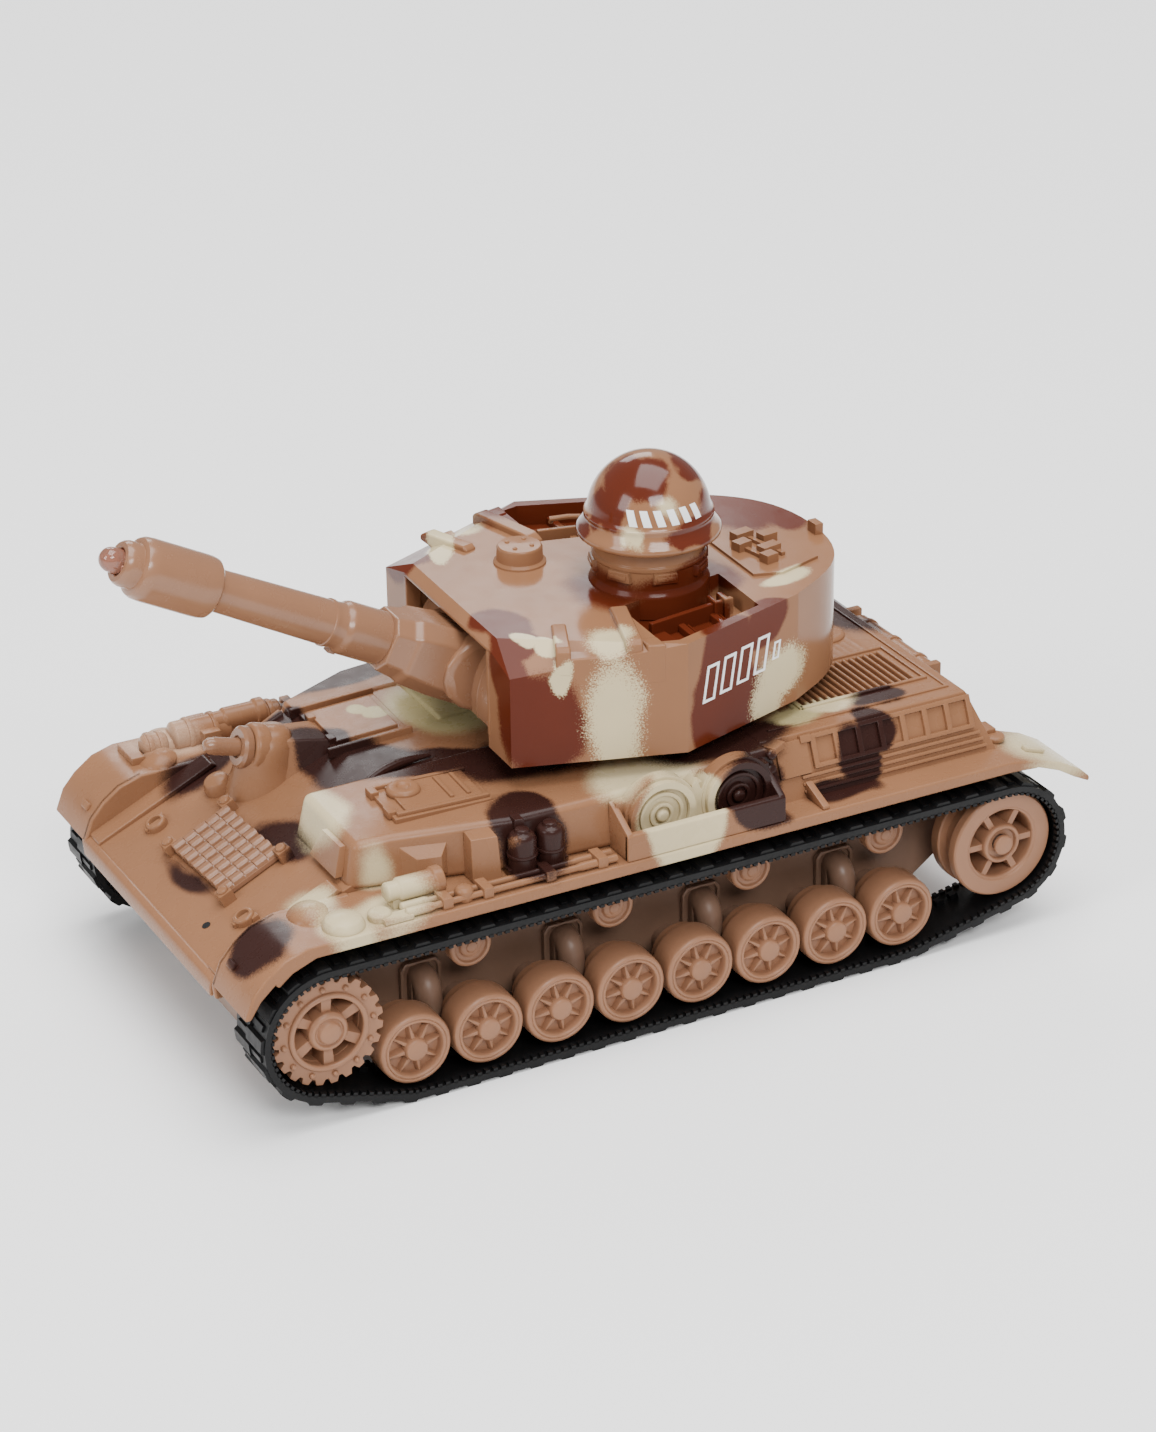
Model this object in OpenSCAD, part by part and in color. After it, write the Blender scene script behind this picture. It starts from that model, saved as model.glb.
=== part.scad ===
// Toy battle tank, remote controlled: hull shell on a chassis tub, two rubber
// tracks, a geared drive to each front sprocket, and a turret with a lifting gun.
// Row frame: +X forward, +Y to the tank's own left, +Z up, ground at z = 0.

/* [Running gear] */
// Distance between neighbouring road wheels
wheel_pitch = 16; // [15.9:0.05:16.2]
// Radius of a road wheel
wheel_r = 7.8; // [7.6:0.05:7.8]
// Height of the road wheel axles
wheel_z = 10.8; // [10.7:0.05:10.9]
// Tip radius of the drive sprocket's teeth
sprocket_r = 11.8; // [11.4:0.1:11.8]
// Number of teeth on the drive sprocket
sprocket_teeth = 23; // [20:1:26]
// Radius of the rear idler wheel
idler_r = 11.9; // [11.6:0.1:11.9]
// Thickness of the rubber belt with its tread
belt_t = 2.6; // [2.2:0.1:2.6]
// Width of the rubber belt
belt_w = 13.5; // [12.5:0.5:13.5]

/* [Hull] */
// Height of the fender tops above the ground
fender_z = 40; // [39.8:0.1:40.4]
// Height of the rear deck above the ground
deck_z = 52.4; // [52:0.1:52.8]
// Wall thickness of the moulded shells
wall = 1.8; // [1.5:0.1:2.0]

/* [Turret and gun] */
// Resting turn of the turret, anticlockwise from above
turret_yaw = -2; // [-10:0.5:10]
// Resting elevation of the gun above the horizontal
gun_elevation = 27.4; // [22:0.2:28]
// Height of the turret's lower edge
turret_z = 55.6; // [55.4:0.1:56]
// Height of the turret's roof
roof_z = 79.8; // [79:0.1:80.4]
// Outer radius of the muzzle sleeve
muzzle_r = 6.3; // [5.8:0.1:6.6]
// Radius of the lamp in the muzzle
led_r = 2.5; // [2.4:0.1:2.5]

/* [Drive] */
// Gear module
gear_m = 0.6; // [0.58:0.01:0.6]
// Teeth on the final gear
z_final = 26; // [26:1:26]
// Teeth on the compound gear's small wheel
z_small = 12; // [12:1:12]
// Teeth on the compound gear's large wheel
z_large = 30; // [30:1:30]
// Teeth on the motor pinion
z_pinion = 10; // [10:1:10]

/* [Hidden] */
$fn = 48;
e = 0.01;
n_wheels = 8;
spr = [18.4, 20.1];
idl = [-136.8, 20.4];
belt_y0 = 51.1 - belt_w;
belt_yc = 51.1 - belt_w / 2;
tub_y = 34;
pivot = [-72, 0];
trun = [22, 61.6];
gun_drop = 2.8;
// how far along the gun, from the trunnions, the lamp's dome begins
lamp_at = 95.9;
comp_x = spr[0] - gear_m * (z_final + z_small) / 2;
motor_x = comp_x - gear_m * (z_large + z_pinion) / 2;
// the whole model is shifted so that the origin is under the middle of its box
tip_s = trun[0] + lamp_at * cos(gun_elevation) + gun_drop * sin(gun_elevation) + led_r;
tip_x = pivot[0] + tip_s * cos(turret_yaw);
tail_x = -157.6;
ox = -(tip_x + tail_x) / 2;

// ---------- helpers ----------
tan_c = [0.72, 0.55, 0.44];
// slope of the glacis plate, and its height at a given x
glacis_a = atan((40.6 - 28.3) / (35.1 - 7));
function glacis(x) = 28.3 + (35.1 - x) * (40.6 - 28.3) / (35.1 - 7);
module place() { translate([ox, 0, 0]) children(); }
// extrude an outline drawn in X and Z over a span of Y
module xz(y0, y1, pts) { translate([0, y1, 0]) rotate([90, 0, 0]) linear_extrude(y1 - y0) polygon(pts); }
// extrude an outline drawn in Y and Z over a span of X
module yz(x0, x1, pts) { translate([x0, 0, 0]) rotate([90, 0, 90]) linear_extrude(x1 - x0) polygon(pts); }
module xy(z0, z1, pts) { translate([0, 0, z0]) linear_extrude(z1 - z0) polygon(pts); }
module bx(x0, x1, y0, y1, z0, z1) { translate([x0, y0, z0]) cube([x1 - x0, y1 - y0, z1 - z0]); }
module ycyl(x, z, y0, y1, r) { translate([x, y0, z]) rotate([-90, 0, 0]) cylinder(h = y1 - y0, r = r); }
module both() { children(); mirror([0, 1, 0]) children(); }
// a turned part about the Y axis, its profile given as [radius, y]
module yturn(x, z, pts) { translate([x, 0, z]) rotate([-90, 0, 0]) rotate_extrude() polygon(pts); }

// ---------- belts ----------
function tangent(c1, r1, c2, r2) = // outer tangent on the left of the way from c1 to c2
  let (d = c2 - c1, L = norm(d), a = atan2(d[1], d[0]), b = asin((r1 - r2) / L), t = a + 90 - b)
  [c1 + r1 * [cos(t), sin(t)], c2 + r2 * [cos(t), sin(t)], t];
function wrapa(a) = a < 0 ? wrapa(a + 360) : a >= 360 ? wrapa(a - 360) : a;
belt_c = [spr, [0, wheel_z], [-(n_wheels - 1) * wheel_pitch, wheel_z], idl];
belt_r = [15.1, wheel_z, wheel_z, 14.9];
// clockwise order round the outside, so that each tangent is on the left
function belt_pts(off, step) =
  let (n = 4, T = [for (i = [0 : n - 1]) tangent(belt_c[i], belt_r[i] - off, belt_c[(i + 1) % n], belt_r[(i + 1) % n] - off)])
  [for (i = [0 : n - 1]) let (tin = T[(i + n - 1) % n][2], tout = T[i][2], sweep = wrapa(tin - tout),
     k = max(1, ceil(sweep / step))) for (j = [0 : k]) let (a = tin - sweep * j / k)
     belt_c[i] + (belt_r[i] - off) * [cos(a), sin(a)]];
module belt(s) {
  outer = belt_pts(0, 7.5);
  inner = belt_pts(belt_t, 7.5);
  y0 = s > 0 ? belt_y0 : -51.1;
  difference() {
    xz(y0, y0 + belt_w, outer);
    xz(y0 - 1, y0 + belt_w + 1, inner);
    // open notches between the tread blocks on the ground run
    for (i = [0 : 33]) translate([2 - i * 3.5, y0 - 1, -1]) cube([1.1, belt_w + 2, 1.8]);
  }
}
module belt_left() { color([0.13, 0.13, 0.13]) place() belt(1); }
module belt_right() { color([0.13, 0.13, 0.13]) place() belt(-1); }

// ---------- wheels ----------
module road_wheel(i, s) {
  x = -(i - 1) * wheel_pitch;
  place() mirror([0, s > 0 ? 0 : 1, 0]) difference() {
    union() {
      // rim as two tyres either side of the guide groove, dished on the outside
      yturn(x, wheel_z, [[1.56, 39.4], [wheel_r, 39.4], [wheel_r, 42.6], [6.6, 42.6], [6.6, 46.0], [wheel_r, 46.0],
        [wheel_r, 49.3], [6.1, 49.3], [5.7, 48.2], [1.56, 48.2]]);
      yturn(x, wheel_z, [[1.56, 48.1], [3.1, 48.1], [3.1, 49.6], [2.1, 50.1], [1.56, 50.1]]);
      for (a = [0 : 45 : 315]) translate([x, 48.1, wheel_z]) rotate([0, a + 10, 0]) translate([-0.55, 0, 2.4]) cube([1.1, 0.8, 3.6]);
    }
  }
}
module wheel_pins() {
  color([0.72, 0.72, 0.74]) place() both() {
    for (i = [0 : n_wheels - 1]) ycyl(-i * wheel_pitch, wheel_z, 32.4, 49.8, 1.5);
    ycyl(idl[0], idl[1], 32.4, 49.2, 1.8);
  }
}
module idler(s) {
  place() mirror([0, s > 0 ? 0 : 1, 0]) difference() {
    union() {
      yturn(idl[0], idl[1], [[1.86, 39.4], [idler_r, 39.4], [idler_r, 42.4], [10.0, 42.4], [10.0, 46.2], [idler_r, 46.2],
        [idler_r, 48.9], [9.6, 48.9], [9.2, 47.6], [4.6, 47.6], [4.4, 49.4], [1.86, 49.4]]);
      yturn(idl[0], idl[1], [[1.86, 36.4], [4, 36.4], [4, 39.5], [1.86, 39.5]]);
    }
    for (a = [0 : 60 : 300]) translate([idl[0], 38, idl[1]]) rotate([0, a + 15, 0]) xz(0, 14, [[-2.5, 5.4], [2.5, 5.4], [3.7, 8.5], [-3.7, 8.5]]);
  }
}
module sprocket(s) {
  n = sprocket_teeth;
  place() mirror([0, s > 0 ? 0 : 1, 0]) difference() {
    union() {
      // toothed outer and inner rings
      for (y = [[39.4, 41.8], [46.4, 48.8]]) translate([spr[0], y[0], spr[1]]) rotate([-90, 0, 0]) linear_extrude(y[1] - y[0])
        polygon([for (i = [0 : n - 1]) for (k = [[-0.36, 10.7], [-0.2, sprocket_r], [0.2, sprocket_r], [0.36, 10.7]])
          let (a = (i + k[0]) * 360 / n) k[1] * [cos(a), sin(a)]]);
      yturn(spr[0], spr[1], [[1.51, 41.7], [10.0, 41.7], [10.0, 46.5], [1.51, 46.5]]);
      yturn(spr[0], spr[1], [[1.51, 46.4], [5.0, 46.4], [5.0, 48.7], [4.3, 48.8], [4.3, 49.6], [2.6, 50.3], [1.51, 50.3]]);
      for (a = [0 : 30 : 330]) translate([spr[0], 48.7, spr[1]]) rotate([0, a, 0]) translate([0, 0, 9.4]) rotate([-90, 0, 0]) cylinder(h = 0.7, r = 0.55, $fn = 16);
    }
    ycyl(spr[0], spr[1], 38, 52, 1.51);
    for (a = [0 : 60 : 300]) translate([spr[0], 38, spr[1]]) rotate([0, a, 0]) xz(0, 14, [[-1.7, 5.3], [1.7, 5.3], [3.2, 8.1], [-3.2, 8.1]]);
  }
}
module drive_shaft(s) {
  place() mirror([0, s > 0 ? 0 : 1, 0]) ycyl(spr[0], spr[1], 20.6, 49.6, 1.5);
}

// ---------- gears ----------
function gear_pts(z, ph) = [for (i = [0 : z - 1]) for (k = [[-0.30, -1.25], [-0.19, 0], [-0.09, 0.95], [0.09, 0.95], [0.19, 0], [0.30, -1.25]])
  let (a = (i + k[0]) * 360 / z + ph, r = gear_m * (z / 2 + k[1])) r * [cos(a), sin(a)]];
// a gear about the Y axis, phase turned in the X-Z plane
module gear(x, zc, y0, y1, teeth, ph, bore) {
  translate([x, y1, zc]) rotate([90, 0, 0]) linear_extrude(y1 - y0) difference() { polygon(gear_pts(teeth, ph)); circle(r = bore); }
}
module final_gear(s) {
  place() mirror([0, s > 0 ? 0 : 1, 0]) {
    // a tooth of the final gear points at the compound gear, which shows it a gap
    gear(spr[0], spr[1], 27, 30, z_final, 180, 1.51);
    difference() { ycyl(spr[0], spr[1], 29.9, 31.4, 4); ycyl(spr[0], spr[1], 29, 32, 1.51); }
  }
}
module compound_gear(s) {
  place() mirror([0, s > 0 ? 0 : 1, 0]) {
    gear(comp_x, spr[1], 26.4, 30.5, z_small, 180 / z_small, 1.05);
    gear(comp_x, spr[1], 23.6, 26.4, z_large, 180, 1.05);
  }
}
module motor_pinion(s) {
  place() mirror([0, s > 0 ? 0 : 1, 0]) {
    gear(motor_x, spr[1], 23.6, 26.8, z_pinion, 180 / z_pinion, 1.0 - e);
    ycyl(motor_x, spr[1], 18.5, 27.2, 1.0);
  }
}
module gearbox_plates() {
  color([0.75, 0.75, 0.72]) place() both() {
    difference() {
      xz(22.0, 23.2, [[-15.5, 10.05], [20.6, 10.05], [24.2, 13.4], [25, 16], [25, 27], [12, 30.9], [-15.5, 30.9]]);
      ycyl(spr[0], spr[1], 20, 25, 1.56);
      ycyl(motor_x, spr[1], 20, 25, 2.2);
      ycyl(-13.2, 28.5, 20, 25, 0.9);
      ycyl(3.2, 12.2, 20, 25, 0.9);
    }
    ycyl(comp_x, spr[1], 23.1, 31.9, 1.0);
  }
}
module drive_motors() {
  color([0.7, 0.71, 0.73]) place() both() difference() {
    union() {
      intersection() { ycyl(motor_x, spr[1], 2.4, 21.9, 7.75); bx(motor_x - 9, motor_x + 9, 0, 24, spr[1] - 6, spr[1] + 6); }
      ycyl(motor_x, spr[1], 1.2, 2.5, 2.8);
    }
    ycyl(motor_x, spr[1], 18.2, 24, 1.05);
  }
}

// ---------- chassis ----------
tub_out = [[33.0, 26.2], [27.5, 12.5], [22, 8], [-122, 8], [-143, 23], [-143, 38.2], [6.5, 38.2]];
tub_in = [[30.0, 26.9], [25.6, 13.6], [21.2, 10], [-121.2, 10], [-141.2, 24.2], [-141.2, 42], [10, 42], [10, 40]];
post_f = [-41, 27.5];
post_r = [-112, 27];
module bogie(x) {
  // elbow arm between a pair of road wheels, with its framed pad on the tub's side
  both() {
    xz(tub_y, 35.2, [[x - 4.5, 12.2], [x + 4.5, 12.2], [x + 4.5, 20.4], [x + 3.2, 21.8], [x - 3.2, 21.8], [x - 4.5, 20.4]]);
    xz(35.1, 38.6, [[x - 2.8, 12.8], [x + 2.8, 12.8], [x + 2.8, 19.4], [x + 1.5, 21.2], [x - 1.5, 21.2], [x - 2.8, 19.4]]);
  }
}
tub_c = [0.45, 0.33, 0.27];
module bogie_arms() { color(tub_c) place() for (x = [-8, -40, -72, -104]) bogie(x); }
module axle_bosses() {
  color(tub_c) place() both() {
    for (i = [0 : n_wheels - 1]) difference() { ycyl(-i * wheel_pitch, wheel_z, tub_y, 38.8, 3.2); ycyl(-i * wheel_pitch, wheel_z, 33, 40, 1.5); }
    difference() { ycyl(idl[0], idl[1], tub_y, 35.9, 4.6); ycyl(idl[0], idl[1], 33, 40, 1.8); }
    difference() { ycyl(spr[0], spr[1], tub_y, 38.6, 4.2); ycyl(spr[0], spr[1], 33, 40, 1.56); }
  }
}
module tub_fittings() {
  color(tub_c) place() {
    // posts for the hull screws, joined to the floor
    both() for (p = [post_f, post_r]) difference() {
      translate([p[0], p[1], 10]) cylinder(h = 19, r = 3.2);
      translate([p[0], p[1], 9]) cylinder(h = 24, r = 1.4);
      translate([p[0], p[1], 7]) cylinder(h = 5, r = 2.9);
    }
    // walls at the ends of the battery bay, the front one with the door screw's boss
    bx(-106.2, -104.7, -32, 32, 10, 25);
    difference() {
      union() { bx(-47.3, -45.8, -32, 32, 10, 25); translate([-49.9, 0, 10.3]) cylinder(h = 10, r = 2.1); bx(-49.9, -47.2, -1.2, 1.2, 10.6, 20.3); }
      translate([-49.9, 0, 9]) cylinder(h = 10, r = 1.0);
    }
    // posts under the circuit board
    both() for (x = [-38, -19]) bx(x - 1.4, x + 1.4, 17.5, 20.3, 10, 31.1);
  }
}
module chassis_tub() {
  color(tub_c) place() difference() {
    xz(-tub_y, tub_y, tub_out);
    xz(-tub_y + 2, tub_y - 2, tub_in);
    both() for (i = [0 : n_wheels - 1]) ycyl(-i * wheel_pitch, wheel_z, 31, 40, 1.5);
    both() ycyl(idl[0], idl[1], 31, 40, 1.8);
    both() ycyl(spr[0], spr[1], 30, 40, 1.56);
    both() for (p = [post_f, post_r]) { translate([p[0], p[1], 7]) cylinder(h = 24, r = 2.9); }
    // battery opening and the ledge that its door sits in
    bx(-104.7, -47.3, -29.5, 29.5, 7, 10.5);
    bx(-106, -46, -31, 31, 7, 9.7 - e);
    // slot for the power switch
    bx(-34.5, -25.5, -2.2, 2.2, 7, 11);
    // moulded seam along each side
    both() bx(-150, 30, 33.6, 35, 25.4, 25.9);
  }
}
module return_rollers() {
  color([0.72, 0.55, 0.44]) place() both() for (x = [-16, -48, -80, -112])
    yturn(x, 26, [[0, 34.05], [2.2, 34.05], [2.2, 38.4], [4.6, 38.4], [4.6, 42.0], [3.6, 42.0], [3.4, 41.5], [2.6, 41.5], [2.4, 42.2], [1.1, 42.2], [0.9, 42.6], [0, 42.6]]);
}
module battery_door() {
  color([0.45, 0.33, 0.27]) place() difference() {
    union() {
      bx(-105.7, -46.3, -30.7, 30.7, 8.0, 9.55);
      bx(-104.3, -47.7, -29.1, 29.1, 9.5, 10.2);
    }
    for (i = [0 : 7]) bx(-100 + i * 1.6, -99.2 + i * 1.6, -8, 8, 7, 8.4);
    translate([-49.9, 0, 7]) cylinder(h = 4, r = 1.0);
    translate([-49.9, 0, 7]) cylinder(h = 2.0, r = 2.3);
  }
}
module screw(h, r, hr, hh) { difference() { union() { cylinder(h = hh, r = hr); cylinder(h = h, r = r); }
    for (a = [0, 90]) rotate([0, 0, a]) translate([-hr * 0.62, -0.3, -1]) cube([hr * 1.24, 0.6, 1 + hh * 0.55]); } }
module battery_door_screw() { color([0.6, 0.6, 0.62]) place() translate([-49.9, 0, 8.1]) screw(9.6, 0.95, 2.2, 0.88); }
module hull_screws() {
  color([0.6, 0.6, 0.62]) place() both() for (p = [post_f, post_r]) translate([p[0], p[1], 10.2]) screw(26, 1.25, 2.6, 1.75);
}
module battery_cells() {
  color([0.2, 0.45, 0.3]) place() for (i = [0 : 3]) translate([0, -21.75 + 14.5 * i, 17.6]) rotate([0, i % 2 == 0 ? 90 : -90, 0])
    translate([0, 0, i % 2 == 0 ? -101.3 : 52.2]) rotate_extrude() polygon([[0, 0], [7.0, 0], [7.0, 47.6], [2.7, 47.9], [2.7, 49.1], [0, 49.1]]);
}
module battery_contacts() {
  color([0.8, 0.8, 0.78]) place() for (i = [0 : 3]) {
    y = -21.75 + 14.5 * i;
    bx(-104.6, -104.1, y - 4.6, y + 4.6, 12.6, 23);
    bx(-47.95, -47.45, y - 4.6, y + 4.6, 12.6, 23);
    // conical spring against the flat end of each cell, drawn as its envelope of rings
    x0 = i % 2 == 0 ? -104.15 : -47.9;
    d = i % 2 == 0 ? 1 : -1;
    for (k = [0 : 4]) translate([x0 + d * k * 0.52, y, 17.6]) rotate([0, d * 90, 0]) difference() { cylinder(h = 0.56, r = 4.6 - k * 0.5); translate([0, 0, -1]) cylinder(h = 3, r = 3.7 - k * 0.5); }
  }
}
module switch_body() {
  color([0.15, 0.15, 0.15]) place() difference() { bx(-36.5, -23.5, -3.6, 3.6, 10.05, 16); bx(-33.5, -26.5, -1.7, 1.7, 9, 14); }
}
module switch_knob() { color([0.1, 0.1, 0.1]) place() { bx(-33, -29, -1.4, 1.4, 6.6, 12.4); bx(-33.3, -28.7, -1.5, 1.5, 11.0, 13.6); } }
module circuit_board() {
  color([0.1, 0.4, 0.2]) place() {
    bx(-40, -17, -21, 21, 31.1, 32.5);
    bx(-34, -28, -3, 5, 32.4, 34.2);
    bx(-24, -20, 8, 14, 32.4, 35);
    for (y = [-16, -11]) translate([-24, y, 32.4]) cylinder(h = 5, r = 1.8);
  }
}
module speaker() {
  color([0.25, 0.25, 0.27]) place() translate([-117, 0, deck_z - wall - 7.42]) rotate_extrude() polygon([[0, 0], [7, 0], [7, 3], [13.5, 5.4], [13.5, 7.4], [11.5, 7.4], [6, 5], [0, 5.4]]);
}

// ---------- upper hull ----------
function planf(t) = [[9 + 0 * t, 34.5 - t], [0, 35.2 - t], [-26, 41.2 - t], [-47, 42.4 - t], [-84, 42.4 - t], [-84, -42.4 + t], [-47, -42.4 + t], [-26, -41.2 + t], [0, -35.2 + t], [9 + 0 * t, -34.5 + t]];
function rearsec(t) = [[42.9 - t, 38.3], [42.9 - t, fender_z], [37.8 - t, deck_z - t], [-37.8 + t, deck_z - t], [-42.9 + t, fender_z], [-42.9 + t, 38.3]];
module sup(t) {
  intersection() { xz(-60, 60, [[20, 36.0 - t], [-12 - t * 0.3, 49.0 - t], [-45, 50.6 - t], [-84.5, 52.2 - t], [-84.5, 38.3], [20, 38.3 - 3]]); xy(38.3, 60, planf(t)); }
  intersection() { xz(-60, 60, [[-83.5, 52.2 - t], [-90, deck_z - t], [-133.5 + t, deck_z - t], [-138.3 + t, fender_z], [-138.3 + t, 38.3], [-83.5, 38.3]]); yz(-140, -83, rearsec(t)); }
}
fend_top = [[35.9, 27.6], [34.0, 32.4], [31.2, 35.6], [27.4, 38.4], [22.4, fender_z], [-137, fender_z], [-144, 38.8], [-150.2, 36.7], [-155, 34.0], [tail_x, 31.6]];
fend_bot = [[tail_x, 30.4], [-153.6, 32.5], [-149.7, 34.9], [-144.6, 36.9], [-138.7, 38.2], [21.5, 38.3], [26.2, 36.2], [29.5, 33.6], [32.3, 31.1], [34.6, 27.6]];
module fender() { xz(33.4, 50.2, concat(fend_top, fend_bot)); }
module bin() {
  difference() {
    intersection() { bx(-83.4, -47.2, 38, 49.8, fender_z - 0.2, 50); yz(-90, -40, [[36, 39], [49.8, 39], [49.8, 45.8], [36, 50.6]]); }
    intersection() { bx(-82.0, -48.6, 36, 48.4, 42.5, 60); }
  }
  // two half wheels stowed upright behind the bin's outer wall
  for (x = [-57.5, -74.5]) difference() { ycyl(x, 42.6, 43.6, 47.6, 7.6); bx(x - 9, x + 9, 40, 50, 30, 41); }
}
module hull_side_details() {
  // recessed panels and ribs on the sloped rear sides, drawn as raised frames
  for (i = [0 : 7]) translate([-88 - i * 6.1, 42.9, fender_z]) rotate([22.4, 0, 0]) translate([-0.5, -0.5, 4.2]) cube([1.0, 1.1, 7.6]);
  for (z = [4.0, 11.6]) translate([-88 - 7 * 6.1, 42.9, fender_z]) rotate([22.4, 0, 0]) translate([-0.5, -0.5, z]) cube([7 * 6.1 + 1, 1.1, 0.9]);
  for (z = [0.4, 1.5, 2.6]) translate([-137, 42.9, fender_z]) rotate([22.4, 0, 0]) translate([0, -0.5, z]) cube([51, 1.0, 0.6]);
  // gusset, front mount, tool rack, cans and box hatch
  xz(42.5, 49.6, [[-93.6, 39.9], [-92.2, 39.9], [-92.2, 42.8], [-93.6, 42.8]]);
  bx(-2.5, 9.5, 33.5, 40, fender_z - 0.2, 47.2);
  ycyl(6, 43.2, 33.5, 42, 3.2);
  translate([-7.5, 43, 43.4]) rotate([0, 90, 0]) cylinder(h = 9.5, r = 2.7);
  translate([-9.4, 43, 43.4]) rotate([0, 90, 0]) cylinder(h = 2.6, r = 3.1);
  for (y = [45.6, 48.2]) translate([-44, y, 40.7]) rotate([0, 90, 0]) cylinder(h = 46, r = 0.9);
  translate([12.9, 45.6, fender_z - 0.2]) cylinder(h = 2.4, r = 4.1);
  for (x = [-24.6, -31.4]) translate([x, 43.4, fender_z - 0.2]) cylinder(h = 8.4, r = 2.9);
  bx(-22.4, -16.6, 40.5, 44.6, fender_z - 0.2, 49.4);
}
module upper_hull() {
  color([0.70, 0.53, 0.42]) place() difference() {
    union() {
      // glacis plate with its lip
      xz(-33.5, 33.5, [[36.3, 27.4], [35.1, 28.3], [7, 40.6], [7, 38.3], [33.4, 26.6], [33.4, 24.8], [35.9, 24.8]]);
      both() xz(33.4, 35.2, concat([for (p = fend_top) if (p[0] > 0) p], [[6, fender_z], [6, 38.4], [10, 38.4], [33.4, 26.6], [33.4, 24.8], [35.9, 24.8]]));
      both() fender();
      sup(0);
      both() bin();
      both() hull_side_details();
      // deck fittings: driver's hatch, its rails, lamp, hooks, box hatch, curved rib
      bx(-27, -11.5, -25.5, -8.5, 46, 50.5);
      for (y = [-26.8, -7.2]) bx(-29, -10.5, y - 0.9, y + 0.9, 46, 51.4);
      bx(-26, -7, 15, 27, 45, 51.4);
      translate([-15.8, 20.5, 51.3]) cylinder(h = 1.0, r = 3.4);
      translate([10.5, -21.2, 37]) cylinder(h = 4.8, r = 2.6);
      both() bx(22.4, 24.8, 20.6, 24.4, 31.5, 34.6);
      // mound of the bow gun
      translate([1.5, -16.5, 37]) cylinder(h = 11.5, r = 7.0);
      translate([1.5, -16.5, 48.5]) sphere(r = 5.6);
      both() for (x = [9.8, 22.4]) translate([x, 0, glacis(x)]) rotate([0, glacis_a, 0]) translate([-1.3, 11.9, -1]) cube([2.6, 3.5, 3.6]);
      // rear silencer box and deck border
      bx(-141.4, -136, -17, 17, 42, 49.5);
      // screw posts
      both() for (p = [post_f, post_r]) translate([p[0], p[1], 29.1]) cylinder(h = 19, r = 3.2);
    }
    // hollow inside of the superstructure, kept clear of the posts
    difference() {
      union() { sup(wall); bx(-136, 8, -31.8, 31.8, 36, 40.2); xz(-31.6, 31.6, [[31, 25.6], [31, 26.0], [6.9, 36.9], [6.9, 38.4], [4, 38.4], [4, 30], [20, 25.6]]); }
      both() for (p = [post_f, post_r]) translate([p[0], p[1], 28]) cylinder(h = 30, r = 3.2);
    }
    both() for (p = [post_f, post_r]) translate([p[0], p[1], 28]) cylinder(h = 12, r = 1.3);
    // turret opening
    translate([pivot[0], 0, 45]) cylinder(h = 12, r = 23.4);
    // slots of the engine deck grille and speaker holes
    for (i = [0 : 9]) both() bx(-102.6 - i * 2.7, -101.0 - i * 2.7, 13, 28, deck_z - 0.9, deck_z + 1);
    for (y = [-6, -2, 2, 6]) bx(-126, -108, y - 0.6, y + 0.6, 49, 54);
    // flat seat of the bow gun on its mound
    translate(bow) rotate([0, 74, 0]) cylinder(h = 6, r = 4.55);
    // small hole in the glacis
    translate([29.4, 16.5, 24]) cylinder(h = 12, r = 0.9);
  }
}
module spare_link_plate() {
  // corrugated plate of spare track links lying on the glacis
  color([0.68, 0.52, 0.40]) place() translate([17.6, 0, glacis(17.6)]) rotate([0, glacis_a, 0]) union() {
    bx(-7.4, 7.4, -11.8, 11.8, e, 1.5);
    for (i = [0 : 7]) bx(-7.4, 7.4, -11.6 + i * 2.95, -9.7 + i * 2.95, 1.4, 2.3);
  }
}
bow = [5.92, -16.5, 49.77];
module bow_gun() {
  // ball mount collar with the stub of the machine gun
  color([0.70, 0.53, 0.42]) place() translate(bow) rotate([0, 74, 0]) {
    cylinder(h = 1.8, r = 4.4);
    translate([0, 0, 1.7]) cylinder(h = 5.9, r = 1.9);
    translate([0, 0, 7.6]) sphere(r = 1.9);
  }
}
module turret_race() {
  color([0.1, 0.1, 0.1]) place() translate([pivot[0], 0, 0]) difference() {
    translate([0, 0, 50.2]) cylinder(h = 4.6, r = 27);
    translate([0, 0, 49]) cylinder(h = 8, r = 23.4);
    // the ring's foot follows the deck
    translate([-pivot[0], 0, 0]) xz(-60, 60, [[20, 36.0], [-12, 49.0], [-45, 50.6], [-84.5, 52.2], [-90, deck_z], [-133.5, deck_z], [-133.5, 30], [20, 30]]);
  }
}

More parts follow.
